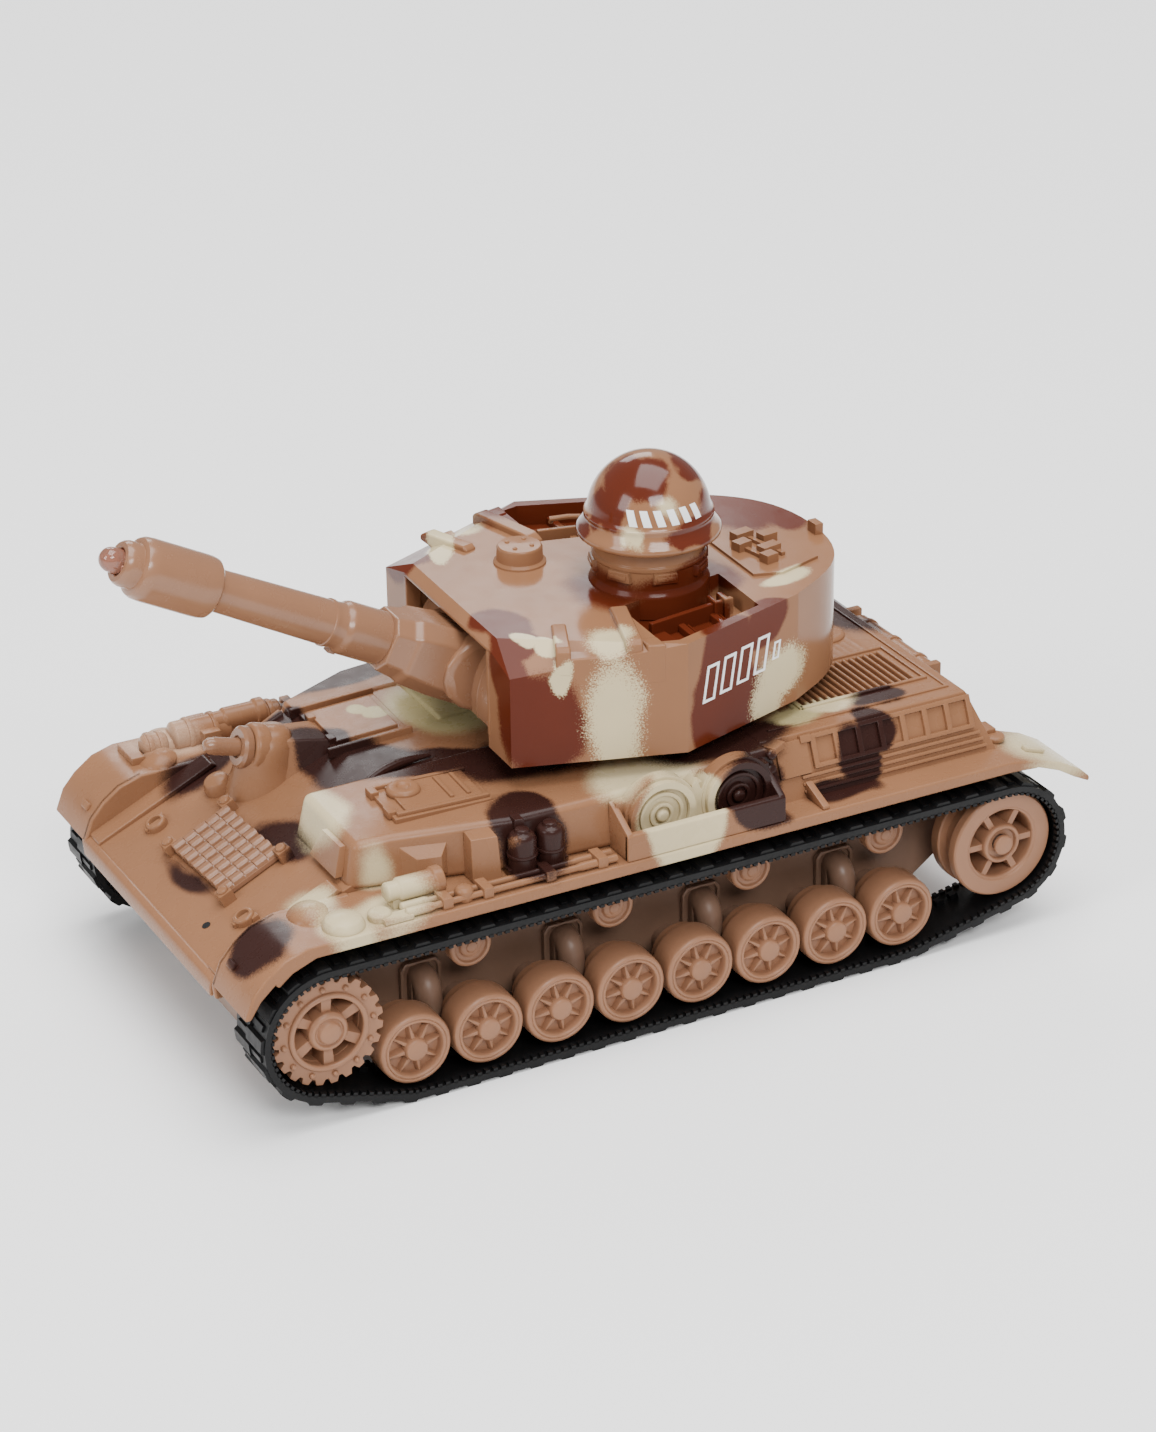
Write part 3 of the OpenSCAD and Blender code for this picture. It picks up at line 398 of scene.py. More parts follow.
# ---- camouflage of the turret and its domed cover
tm = Nodes("turret_camouflage")
turret_patches = [
    (37, -27, 79, 9, 8, 6, 0, RED, 0.15, 0.3),
    (28.5, -25.0, 80, 3.0, 9, 3, -20, CREAM, 0.14, 0.5),
    (20, -33, 80, 5, 4, 3, 0, CREAM, 0.25, 0.6),
    # near front corner, from the roof's edge down the cheek
    (33, 15.5, 80, 5.2, 7.0, 4, 0, RED, 0.16, 0.25),
    (35, 23, 79, 5.0, 6.0, 5, 0, RED, 0.14, 0.25),
    (33.5, 33, 64.5, 10.5, 10, 10.5, 0, RED, 0.10, 0.25),
    (38.5, 29, 74, 4.5, 8, 8, 0, RED, 0.12, 0.25),
    (33.0, 23.6, 80, 2.0, 3.2, 2.6, 25, CREAM, 0.12, 0.3),
    (29.6, 27.5, 79, 2.2, 3.6, 3.2, 20, CREAM, 0.12, 0.3),
    (28.4, 33.0, 73.6, 2.0, 4.5, 3.4, 0, CREAM, 0.14, 0.6),
    # upright blotch on the front wall
    (18.6, 37, 64, 5.0, 8, 13, 0, CREAM, 0.26, 1.3),
    (17.5, 32, 79.5, 4.6, 5, 4, 0, CREAM, 0.3, 0.8),
    # well, cupola foot and side panel
    (-2, 25, 76, 12.5, 12.5, 5.2, -8, RED, 0.10, 0.15),
    (8, 10, 79.8, 7, 9, 4, 0, RED, 0.35, 0.3),
    (-5, 8, 80, 13, 12.5, 5.4, 0, RED, 0.2, 0.2),
    (-8, 14, 81, 12, 9, 5.6, 0, RED, 0.12, 0.2),
    (-15, 10, 85, 6, 9, 6, 0, RED, 0.2, 0.2),
    (-6.2, 38, 66, 8.6, 9, 20, -19, RED, 0.07, 0.12),
    (-17.5, 34, 76.5, 6.5, 6, 6.5, -20, RED, 0.10, 0.15),
    (-13.5, 35, 61, 5.0, 6, 6.5, -20, RED, 0.12, 0.2),
    (-22.0, 30.5, 63.2, 8.2, 6, 4.8, -20, CREAM, 0.18, 1.2),
    (-17.5, 33.5, 58.5, 4.0, 6, 4.0, -20, CREAM, 0.22, 1.2),
    (-28.5, 21, 80.2, 6.5, 3.0, 3, 10, CREAM, 0.2, 0.4),
    (-10, -37, 79, 28, 7, 7, 8, RED, 0.18, 0.3),
    (-36, -15, 79, 9, 13, 6, -30, RED, 0.18, 0.3),
    (-43, -5, 79, 5, 7, 4, 0, RED, 0.18, 0.3),
    (-12, -40, 64, 12, 9, 8, 0, CREAM, 0.2, 0.8),
    (-46, 4, 62, 9, 9, 6, 0, CREAM, 0.2, 0.8),
]
dome_patches = [
    (3.5, 12.5, 104, 8.5, 7.5, 5.0, 10, RED, 0.12, 0.25),
    (9.0, 11.0, 98, 4.6, 6.5, 4.4, 0, RED, 0.14, 0.25),
    (-11.5, 10.5, 104, 5.6, 5.5, 4.0, 0, RED, 0.14, 0.25),
    (-16, 8, 98.5, 4.4, 6, 6, 0, RED, 0.14, 0.25),
    (-7.5, 19.5, 93.6, 6.5, 4.6, 3.0, 0, RED, 0.14, 0.25),
    (-13.5, 17, 96.5, 4.0, 4.5, 3.4, 20, RED, 0.14, 0.25),
    (10.5, 3, 92.0, 4.4, 6.0, 3.0, 0, RED, 0.14, 0.25),
    (-2.0, 19.5, 99.4, 2.4, 4, 2.2, 0, CREAM, 0.5, 0.6),
    (5.6, 17.5, 93.0, 1.8, 4, 2.2, 0, CREAM, 0.4, 0.6),
]
tc = tm.spots(TAN, turret_patches, TUR)
MAT_TUR = tm.finish(tm.vary(tc, 0.05), (0.13, 0.20), bump=0.04, spec=0.12)
dm = Nodes("dome_camouflage")
MAT_DOME = dm.finish(dm.vary(dm.spots(TAN, dome_patches, TUR, 0.002, 200), 0.05), (0.10, 0.15), bump=0.02, spec=0.32)

MAT_TAN = plastic("bare_tan_plastic", (0.220, 0.106, 0.057, 1), (0.20, 0.30), 0.05, bump=0.015, spec=0.42)
MAT_WHEEL = plastic("wheel_plastic", (0.250, 0.122, 0.068, 1), (0.30, 0.44), 0.06, bump=0.06, spec=0.25)
MAT_BROWN = plastic("chassis_plastic", BROWN, (0.36, 0.5), 0.08, bump=0.12, spec=0.3)
# this black also colours a disc of painted shade in a small hole in the glacis
MAT_BLACK = plastic("black_plastic", (0.008, 0.008, 0.0085, 1), (0.35, 0.5), 0.1, spec=0.3)
MAT_WHITE = plastic("printed_white", (0.80, 0.80, 0.79, 1), (0.35, 0.5), 0.03)

# rubber of the tracks, with pale dust
rm = Nodes("track_rubber")
dust = rm.noise(340, 5, 0.7)
rub = rm.mix(rm.ramp(dust.outputs["Fac"], 0.58, 0.85, 0.0, 0.25), (0.0035, 0.0035, 0.0038, 1), (0.020, 0.020, 0.019, 1))
MAT_RUB = rm.finish(rub, (0.36, 0.55), bump=0.2, bump_scale=2200, spec=0.2)


def metal(name, col, rough=(0.2, 0.34), streak=None):
    m = Nodes(name)
    out = m.finish(m.vary(col, 0.08, 300), rough, bump=0.05, bump_scale=3000)
    m.bsdf.inputs["Metallic"].default_value = 1.0
    return out


MAT_STEEL = metal("steel", lin(178, 178, 180))
MAT_SCREW = metal("zinc_plated", lin(160, 160, 158), (0.25, 0.4))
MAT_BRASS = metal("brass", lin(205, 170, 90))
MAT_CAN = metal("motor_can", lin(190, 190, 188), (0.3, 0.42))
MAT_GEAR = plastic("white_gear", lin(232, 230, 222), (0.3, 0.45), 0.03)
MAT_FRAME = plastic("grey_frame", lin(172, 172, 166), (0.4, 0.55), 0.05)
bd = Nodes("circuit_board")
tr = bd.noise(500, 0, 0.5)
MAT_BOARD = bd.finish(bd.mix(bd.ramp(tr.outputs["Fac"], 0.49, 0.51), lin(20, 84, 44), lin(34, 112, 60)), (0.3, 0.45), bump=0.1)
cl = Nodes("cell_wrap")
wv = cl.n("ShaderNodeTexWave", wave_type="BANDS", bands_direction="X")
wv.inputs["Scale"].default_value = 9.0
cl.link(cl.co, wv.inputs["Vector"])
MAT_CELL = cl.finish(cl.mix(cl.ramp(wv.outputs["Fac"], 0.75, 0.8), lin(36, 112, 66), lin(212, 206, 190)), (0.2, 0.32), bump=0.03)

# clear lamp: tinted resin with a small reflector cup seen inside
lm = Nodes("lamp_resin")
lm.finish(lm.vary((0.55, 0.25, 0.17, 1), 0.03), (0.03, 0.08), bump=0.01)
lm.bsdf.inputs["Transmission Weight"].default_value = 0.7
lm.bsdf.inputs["IOR"].default_value = 1.5
MAT_LAMP = lm.mat

# ------------------------------------------------------------------ hull
def glacis(x):
    return 28.3 + (35.1 - x) * (40.6 - 28.3) / (35.1 - 7)


GA = math.atan((40.6 - 28.3) / (35.1 - 7))
FEND = [(35.9, 27.6), (34.0, 32.4), (31.2, 35.6), (27.4, 38.4), (22.4, 40.0)]
REARF = [(-137, 40.0), (-144, 38.8), (-150.2, 36.7), (-155, 34.0), (-157.5, 31.7)]
REARB = [(-157.3, 30.6), (-153.6, 32.5), (-149.7, 34.9), (-144.6, 36.9), (-138.7, 38.3)]
FRB = [(21.5, 38.3), (26.2, 36.2), (29.5, 33.6), (32.3, 31.1), (34.6, 27.6)]

# body of the superstructure: front slope, flat middle, engine deck with sloped flanks
s = Shape()
deck = [(35.6, 27.6), (35.1, 28.3), (7, 40.6), (-12, 48.4), (-30, 49.6), (-45, 50.3), (-86, 51.9), (-86, 39), (6, 39), (6, 38.4), (33.0, 26.8), (33.4, 24.8), (35.6, 24.8)]
s.xz(-33.4, 33.4, deck)
side_top = [(3.6, 34.0), (-1, 35.4), (-26, 41.0), (-47, 42.3), (-86, 42.3)]
s.xy(39.0, 44.2, [(x, y) for x, y in [(5.2, 34.6), (0, 35.6)] + side_top[2:]] + [(-86, 0), (5.2, 0)])
make("hull_deck", Shape().xz(-33.4, 33.4, deck), MAT_HULL, "hull", bevel=0.45, replaces=["upper_hull"])


def flank(sign):
    """Raised shoulder of the superstructure on one side, its plan widening to the rear."""
    q = Shape()
    # foot ring and top ring, in plan order from the front inner corner
    xs = [(6.4, 8.0, 43.4, 50.0), (6.4, 33.6, 40.0, 49.2), (-3, 35.6, 40.0, 50.2), (-26, 41.2, 40.0, 50.6), (-47, 42.4, 40.0, 51.0), (-86, 42.4, 40.0, 52.2), (-86, 8.0, 44, 52.2), (-30, 8.0, 44, 50.6), (-12, 8.0, 44, 50.2)]
    foot, top = [], []
    for i, (x, y, z0, z1) in enumerate(xs):
        foot.append((x, sign * y, z0 if i in (1, 2, 3, 4, 5) else 40.5))
        lean = 1.6 if i in (1, 2, 3, 4, 5) else 0
        front = 2.4 if i in (0, 1) else 0
        top.append((x - front, sign * (y - lean), z1))
    q.loft([foot, top])
    return q


fl = flank(1)
fr = flank(-1)
make("hull_shoulder_left", fl, MAT_HULL, "hull", bevel=1.5, segs=4)
fr2 = Shape()
foot = [(-8, -29.0, 44), (-8, -34.0, 40), (-26, -41.2, 40), (-47, -42.4, 40), (-86, -42.4, 40), (-86, -8, 44), (-34, -8, 44), (-34, -27.5, 44)]
top = [(-10, -29.0, 49.2), (-10, -33.6, 49.2), (-26, -39.6, 50.2), (-47, -40.8, 51.0), (-86, -40.8, 52.2), (-86, -8, 52.2), (-34, -8, 50.6), (-34, -27.5, 50.4)]
fr2.loft([foot, top])
make("hull_shoulder_right", fr2, MAT_HULL, "hull", bevel=0.9, segs=3)
# strip of side wall on the far side ahead of that shoulder
s = Shape().loft([[(6.4, -33, 39.5), (6.4, -30.5, 40.8), (-9, -30.5, 46.5), (-9, -34, 39.5)], [(5.2, -33, 40.6), (5.2, -31, 41.6), (-9, -31, 48.2), (-9, -33.6, 47.6)]])
make("hull_side_strip", s, MAT_HULL, "hull", bevel=0.4)

# rear superstructure
s = Shape()
foot = [(-84, 42.9), (-138.3, 42.9), (-138.3, -42.9), (-84, -42.9)]
top = [(-84, 37.8), (-133.5, 37.8), (-133.5, -37.8), (-84, -37.8)]
s.loft([[(x, y, 39.2) for x, y in foot], [(x, y, 40.0) for x, y in foot], [(x, y, 52.3) for x, y in top]])
cutter = Shape()
for sg in (1, -1):
    for i in range(16):
        x = -101.2 - i * 1.72
        cutter.box(x - 0.48, x + 0.48, *sorted((sg * 12.5, sg * 27.5)), 50.9, 54)
cutter.box(-98.2, -95.0, -27.5, 27.5, 51.5, 54)
make("hull_rear", s, MAT_HULL, "hull", bevel=0.35, cut=cutter)
# ledge that closes the tub behind the sloped rear plate
s = Shape().box(-143.0, -136.4, -33.2, 33.2, 38.3, 39.7)
make("rear_ledge", s, MAT_HULL, "hull", bevel=0.3)
s = Shape()
# raised border and frames of the engine deck
for sg in (1, -1):
    ys = sorted((sg * 11.0, sg * 12.0)); s.box(-129.2, -99.0, ys[0], ys[1], 52.0, 52.8)
    ys = sorted((sg * 28.0, sg * 29.0)); s.box(-129.2, -99.0, ys[0], ys[1], 52.0, 52.8)
    ys = sorted((sg * 33.8, sg * 34.6)); s.box(-131.2, -88.0, ys[0], ys[1], 52.0, 52.7)
    for x in (-99.4, -129.4):
        ys = sorted((sg * 11.0, sg * 29.0)); s.box(x - 0.5, x + 0.5, ys[0], ys[1], 52.0, 52.8)
s.box(-131.6, -130.8, -34.6, 34.6, 52.0, 52.7)
s.turn((-122, 0, 51.8), (0, 0, 1), [(0, 0), (4.6, 0), (4.6, 0.9), (4.0, 1.3), (0, 1.3)], 32)
s.turn((-108, 0, 51.8), (0, 0, 1), [(0, 0), (6.0, 0), (6.0, 0.7), (5.4, 1.1), (0, 1.1)], 40)
s.box(-116.5, -113.5, -6, 6, 52.0, 53.0)
make("engine_deck_trim", s, MAT_HULL, "hull", bevel=0.22)

# sloped rear flanks: panel frames, long ridges, bolts
s = Shape()
lean = math.atan((42.9 - 37.8) / (52.4 - 40.0))
for sg in (1, -1):
    base = Matrix.Translation((0, sg * 42.9, 40.0)) @ Matrix.Rotation(sg * lean, 4, "X")
    s.m = base
    o = (lambda a, b: sorted((sg * a, sg * b)))
    for i in range(8):
        x = -95.8 - i * 5.35
        s.box(x - 0.62, x + 0.62, *o(-0.4, 0.8), 5.8, 12.0)
    s.box(-95.8 - 7 * 5.35 - 0.62, -95.18, *o(-0.4, 0.75), 5.4, 6.4)
    s.box(-95.8 - 7 * 5.35 - 0.62, -95.18, *o(-0.4, 0.75), 11.6, 12.6)
    s.box(-94.4, -87.0, *o(-0.4, 0.7), 4.8, 12.2)
    s.obox((-94.0, sg * 0.4, 12.0), (2.6, 1.6, 1.6))
    for z in (0.9, 2.4, 3.9):
        s.box(-136.4 + z * 0.35, -92.0, *o(-0.4, 0.6), z, z + 0.75)
    s.m = Matrix.Identity(4)
    # gusset and small mount ahead of the panels
    y = sorted((sg * 42.4, sg * 49.4))
    s.loft([[(x, sg * 42.2, 40), (x, sg * 49.4, 40), (x, sg * 49.4, 40.8), (x, sg * 42.2, 43.4)] for x in (-93.9, -92.3)])
make("rear_flank_panels", s, MAT_HULL, "hull", bevel=0.22)
s = Shape()
for sg in (1, -1):
    for x, z in ((-84.4, 51.2), (-84.4, 48)):
        s.turn((x, sg * 41.6, z), (0, sg, 0.4), [(0, 0), (1.1, 0), (1.1, 0.7), (0.7, 1.0), (0, 1.0)], 16)
    s.obox((-86.2, sg * 39.4, 51.6), (4.2, 3.4, 1.6), (0, 0, sg * 0.5))
make("flank_bolts", s, MAT_HULL, "hull", bevel=0.2)

# fenders: a swept strip with a turned-down outer edge, bent at both ends
def fender(sg):
    q = Shape()
    y0, y1 = sorted((sg * 33.4, sg * 50.1))
    q.xz(y0, y1, FEND + REARF + REARB + FRB)
    # turned-down lip along the outer edge
    lip_top = [(x, z) for x, z in [(30.6, 36.0), (27.1, 38.6), (22.3, 40.0), (-137, 40.0), (-144, 38.8)]]
    ya, yb = sorted((sg * 49.2, sg * 50.15))
    q.xz(ya, yb, lip_top + [(-144.4, 36.9), (-138, 37.4), (20.5, 37.4), (25.6, 35.4), (28.6, 33.0)])
    return q


make("fender_left", fender(1), MAT_HULL, "hull", bevel=0.5, segs=3)
make("fender_right", fender(-1), MAT_HULL, "hull", bevel=0.5, segs=3)
# mudguard cheeks between the fenders' front ends and the glacis
s = Shape()
for sg in (1, -1):
    ya, yb = sorted((sg * 33.2, sg * 35.0))
    s.xz(ya, yb, FEND + [(6.4, 40.2), (6.4, 38.6), (10, 38.5), (33.2, 26.8), (33.4, 24.9), (35.7, 24.9)])
make("mudguard_cheeks", s, MAT_HULL, "hull", bevel=0.5, segs=3)
# small raised plates and rear flap bosses
s = Shape()
for sg in (1, -1):
    s.obox((-146.5, sg * 44.5, 38.4), (5.0, 2.0, 0.9), (0, -0.32, 0))
    s.turn((-140.6, sg * 38.6, 39.6), (0, 0, 1), [(0, 0), (2.4, 0), (2.4, 0.9), (1.8, 1.3), (0, 1.3)], 20)
    s.box(-141.4, -138.6, *sorted((sg * 34.0, sg * 38.2)), 39.6, 41.8)
    s.obox((33.2, sg * 38.0, 33.6), (1.6, 3.0, 1.0), (0, 1.0, 0))
make("flap_details", s, MAT_HULL, "hull", bevel=0.25)

# open stowage bins with half wheels upright in them
s = Shape()
for sg in (1, -1):
    o = (lambda a, b: sorted((sg * a, sg * b)))
    s.loft([[(x, sg * 48.2, 40.0), (x, sg * 49.7, 40.0), (x, sg * 49.7, 45.6), (x, sg * 48.3, 46.0)] for x in (-47.2, -83.4)])
    for x0, x1 in ((-47.2, -48.7), (-81.9, -83.4)):
        s.loft([[(x, sg * 41.5, 40.0), (x, sg * 49.5, 40.0), (x, sg * 49.5, 45.8), (x, sg * 41.5, 50.2)] for x in (x0, x1)])
    s.box(-83.2, -47.4, *o(41.5, 48.6), 39.9, 41.4)
make("stowage_bins", s, MAT_HULL, "hull", bevel=0.35)
s = Shape()
for sg in (1, -1):
    for x in (-57.4, -75.0):
        n, R = 40, 8.9
        zc, zf = 46.0, 40.2
        for r0, r1, y0, y1 in ((0, 8.2, 41.6, 44.6), (6.0, 7.5, 44.4, 45.9), (4.2, 5.0, 44.4, 45.3), (1.9, 2.7, 44.4, 45.3)):
            e = -math.asin(min(1.0, (zc - zf) / r1)) if r1 > zc - zf else -pi / 2
            outer = [(x + r1 * cos(e + (pi - 2 * e) * k / n), zc + r1 * sin(e + (pi - 2 * e) * k / n)) for k in range(n + 1)]
            if r0 and r1 < zc - zf:
                s.ring((x, sg * y0, zc), (0, sg, 0), [(r0, 0), (r1, 0), (r1, y1 - y0), (r0, y1 - y0)], 40)
                continue
            if r0:
                f = -math.asin(min(1.0, (zc - zf) / r0))
                outer += [(x + r0 * cos(f + (pi - 2 * f) * k / n), zc + r0 * sin(f + (pi - 2 * f) * k / n)) for k in range(n + 1)][::-1]
            s.xz(*sorted((sg * y0, sg * y1)), outer)
        s.turn((x, sg * 44.4, zc), (0, sg, 0), [(0, 0), (1.3, 0), (1.3, 1.2), (0.9, 1.6), (0, 1.6)], 20)
    s.xz(*sorted((sg * 41.0, sg * 44.4)), [(-64.6, 43.2), (-64.6, 50.4), (-65.8, 51.6), (-66.8, 49.0), (-68.2, 52.0), (-69.4, 50.8), (-69.4, 43.2)])
    s.xz(*sorted((sg * 41.0, sg * 43.4)), [(-48.0, 41.0), (-83.0, 41.0), (-83.0, 50.6), (-48.0, 50.0)])
make("stowed_half_wheels", s, MAT_HULL, "hull", bevel=0.28)

# fittings on the near side: jack, cans, box, tool rods, clamps, dome
def side_fittings(sg):
    q = Shape()
    o = (lambda a, b: sorted((sg * a, sg * b)))
    # jack: barrel with collars lying along the fender
    q.turn((-9.6, sg * 42.8, 43.4), (1, 0, 0), [(0, 0), (2.2, 0), (2.9, 0.3), (2.9, 2.2), (2.45, 2.5), (2.45, 9.4), (2.0, 9.8), (2.0, 12.0), (1.4, 12.3), (0, 12.3)], 28)
    q.box(-8.5, 1.5, *o(41.0, 44.2), 40.0, 42.0)
    # dome boss and low round mounts
    q.turn((12.6, sg * 45.2, 39.9), (0, 0, 1), [(0, 0), (4.3, 0), (4.2, 0.9), (3.6, 1.9), (2.2, 2.5), (0, 2.8)], 32)
    q.turn((5.2, sg * 45.8, 39.9), (0, 0, 1), [(0, 0), (2.4, 0), (2.4, 1.4), (1.8, 1.9), (0, 1.9)], 24)
    # sagging bag between glacis and fender
    q.turn((17.0, sg * 37.8, 39.0), (0.3, 0.05, 1), [(0, 0), (4.0, 0), (4.6, 0.8), (3.4, 2.2), (1.6, 2.8), (0, 2.9)], 24)
    q.obox((23.8, sg * 37.0, 38.6), (4.0, 2.8, 1.0), (0, 0.35, 0))
    # tool rods with clamps
    for y, z in ((45.6, 41.0), (48.1, 41.0)):
        q.turn((-45.5, sg * y, z), (1, 0, 0), [(0, 0), (0.85, 0), (0.9, 8), (0.7, 9), (0.7, 40), (1.0, 41), (1.0, 46), (0, 46.4)], 14)
    for x in (-8.0, -16.8, -30.5, -42.0):
        q.box(x - 1.1, x + 1.1, *o(44.4, 49.2), 40.0, 42.3)
    q.turn((-12.4, sg * 46.9, 40.0), (0, 0, 1), [(0, 0), (1.9, 0), (1.9, 2.2), (1.4, 2.8), (0, 2.9)], 20)
    # spade blade at the rods' front end
    q.obox((2.6, sg * 48.0, 40.6), (6.2, 3.0, 1.1))
    if sg < 0:
        q.box(-24.5, -13.0, *o(41.2, 44.6), 40.0, 43.0)
        q.turn((-38.0, sg * 43.4, 41.9), (1, 0, 0), [(0, 0), (1.3, 0.2), (1.8, 0.8), (1.8, 10.2), (1.3, 10.8), (0, 11)], 20)
        return q
    # two cans on end, with a strap
    for x in (-27.4, -33.6):
        q.turn((x, sg * 42.6, 40.0), (0, 0, 1), [(0, 0), (2.9, 0), (2.9, 7.6), (2.4, 8.6), (1.5, 9.0), (1.4, 9.7), (0, 9.8)], 24)
        q.ring((x, sg * 42.6, 44.2), (0, 0, 1), [(2.7, -0.4), (3.15, -0.4), (3.15, 0.4), (2.7, 0.4)], 24)
    q.box(-37.2, -24.0, *o(41.2, 43.6), 40.0, 41.6)
    # upright box
    q.loft([[(-16.6, sg * 38.0, 40), (-22.6, sg * 38.0, 40), (-22.6, sg * 43.4, 40), (-16.6, sg * 42.4, 40)], [(-16.9, sg * 38.0, 49.6), (-22.3, sg * 38.0, 49.6), (-22.3, sg * 42.2, 49.0), (-16.9, sg * 41.2, 49.0)]])
    return q


make("side_fittings_left", side_fittings(1), MAT_HULL, "hull", bevel=0.3)
make("side_fittings_right", side_fittings(-1), MAT_HULL, "hull", bevel=0.3)

# front deck: driver's hatch in its frame, rails, near hatch with boss, ribs, lamp, hooks
s = Shape()
s.m = Matrix.Translation((-18.6, -17.0, 49.0)) @ Matrix.Rotation(0.06, 4, "Y") @ Matrix.Rotation(math.radians(-2), 4, "Z")
s.box(-8.8, 8.2, -9.8, 9.0, -3.5, 0.35)
s.box(-7.2, 6.8, -7.8, 7.4, 0.2, 1.15)
s.box(-9.2, 9.6, 9.2, 10.4, -1.0, 1.3)
s.box(-9.2, 9.6, -11.4, -10.2, -1.0, 1.3)
for y in (-5.6, 5.4):
    s.box(6.2, 8.0, y - 1.3, y + 1.3, 0.2, 1.6)
s.m = Matrix.Identity(4)
make("driver_hatch", s, MAT_HULL, "hull", bevel=0.3)
s = Shape()
s.m = Matrix.Translation((-15.5, 21.5, 50.3)) @ Matrix.Rotation(math.radians(-3), 4, "Z")
s.box(-12.4, 8.6, -7.0, 8.2, -1.2, 0.5)
s.box(-11.0, 5.6, -5.0, 6.2, 0.3, 1.1)
s.turn((2.8, -1.8, 0.6), (0, 0, 1), [(0, 0), (3.5, 0), (3.5, 0.9), (2.9, 1.5), (1.4, 1.6), (1.2, 1.2), (0, 1.2)], 32)
for y in (-5.6, 7.0):
    s.box(-12.0, 7.8, y - 0.5, y + 0.5, 0.4, 1.3)
for x in (-8.4, -4.8):
    s.box(x - 0.45, x + 0.45, -4.2, 5.4, 0.9, 1.6)
s.obox((8.4, -4.6, 0.4), (1.8, 3.2, 1.6))
s.obox((8.4, 4.6, 0.4), (1.8, 3.2, 1.6))
s.m = Matrix.Identity(4)
make("box_hatch", s, MAT_HULL, "hull", bevel=0.25)
# curved rib on the deck, side recess frame on the near block
s = Shape()
path = [(-5.6 - 20 * t, 10.6 - 5.0 * t - 1.8 * math.sin(pi * t), 49.5 - 1.6 * (1 - t) + 0.75 * math.sin(pi * t) + 0.4 * t) for t in [k / 14 for k in range(15)]]
s.tube(path, [0.35 + 0.75 * math.sin(pi * k / 14) for k in range(15)], 10)
s.loft([[(7.6, 18.5, 42.0), (7.6, 30.5, 42.0), (5.6, 29.0, 47.8), (5.6, 20.5, 47.8)], [(6.0, 18.5, 42.0), (6.0, 30.5, 42.0), (4.0, 29.0, 47.8), (4.0, 20.5, 47.8)]])
s.loft([[(-3.8, 34.6, 40.6), (-14.4, 37.0, 40.6), (-14.4, 36.4, 48.2), (-3.8, 34.0, 48.2)], [(-6.8, 38.3, 42.4), (-11.6, 39.5, 42.4), (-11.6, 38.9, 45.8), (-6.8, 37.7, 45.8)]])
s.loft([[(-26.8, 38.4, 40), (-26.8, 42.2, 40), (-26.8, 40.7, 50.7), (-26.8, 38.4, 50.9)], [(-28.6, 38.4, 40), (-28.6, 42.6, 40), (-28.6, 41.2, 50.8), (-28.6, 38.4, 51.0)]])
make("deck_ribs", s, MAT_HULL, "hull", bevel=0.3)
s = Shape()
s.m = Matrix.Translation((10.0, -21.2, glacis(10.0))) @ Matrix.Rotation(GA, 4, "Y")
s.turn((0, 0, -1), (0, 0, 1), [(0, 0), (3.1, 0), (3.1, 2.2), (2.5, 3.6), (1.2, 4.2), (0, 4.3)], 28)
s.m = Matrix.Identity(4)
for sg in (1, -1):
    s.m = Matrix.Translation((23.6, sg * 22.6, glacis(23.6))) @ Matrix.Rotation(GA, 4, "Y")
    s.ring((0, 0, 0.9), (0, 0, 1), [(1.1, -1.2), (2.3, -1.2), (2.3, 0.4), (1.9, 0.8), (1.3, 0.8)], 20)
    s.obox((0.2, 0, 0.4), (5.0, 1.3, 1.4))
    s.obox((-1.6, sg * 1.6, 0.3), (1.6, 1.6, 1.5))
s.m = Matrix.Identity(4)
make("glacis_fittings", s, MAT_HULL, "hull", bevel=0.25)
# raised kerb along each side of the glacis, and the lip at its lower edge
s = Shape()
for sg in (1, -1):
    ya, yb = sorted((sg * 28.6, sg * 33.6))
    s.xz(ya, yb, [(34.6, 28.7), (34.4, 29.5), (8.6, 41.4), (7.2, 40.6), (34.0, 28.3)])
s.xz(-33.4, 33.4, [(36.2, 25.0), (36.2, 27.3), (35.6, 28.4), (34.4, 28.9), (33.4, 28.2), (33.6, 25.0)])
make("glacis_border", s, MAT_HULL, "hull", bevel=0.4, segs=3)

# mound of the bow gun: a bulging drum with a flat seat and a faceted tail
s = Shape()
c = Vector((1.5, -16.5, 0))
rings = []
for z, r, dx in ((38.5, 8.6, 0.6), (41.0, 8.0, 0.5), (44.0, 7.0, 0.2), (47.0, 6.5, 0.0), (49.6, 6.1, -0.2), (51.6, 5.0, -0.6), (52.8, 3.2, -1.2), (53.2, 0.4, -1.4)):
    rings.append([(c.x + dx + r * cos(2 * pi * k / 32), c.y + r * 0.92 * sin(2 * pi * k / 32), z) for k in range(32)])
s.loft(rings)
s.loft([[(2, -22.5, 42), (2, -10.0, 42), (-14, -8.5, 47.0), (-14, -24, 47.0)], [(0, -20.5, 51.6), (0, -12.5, 51.6), (-10.5, -11.5, 49.8), (-10.5, -21.5, 49.8)]])
s.m = Matrix.Translation((5.0, -16.5, 49.4)) @ Matrix.Rotation(math.radians(74), 4, "Y")
s.turn((0, 0, -3), (0, 0, 1), [(0, 0), (5.3, 0), (5.3, 2.6), (4.7, 3.5), (0, 3.6)], 32)
s.m = Matrix.Identity(4)
make("bow_gun_mound", s, MAT_HULL, "hull", bevel=0.5, segs=3, angle=40)
s = Shape()
s.m = Matrix.Translation((5.92, -16.5, 49.77)) @ Matrix.Rotation(math.radians(74), 4, "Y")
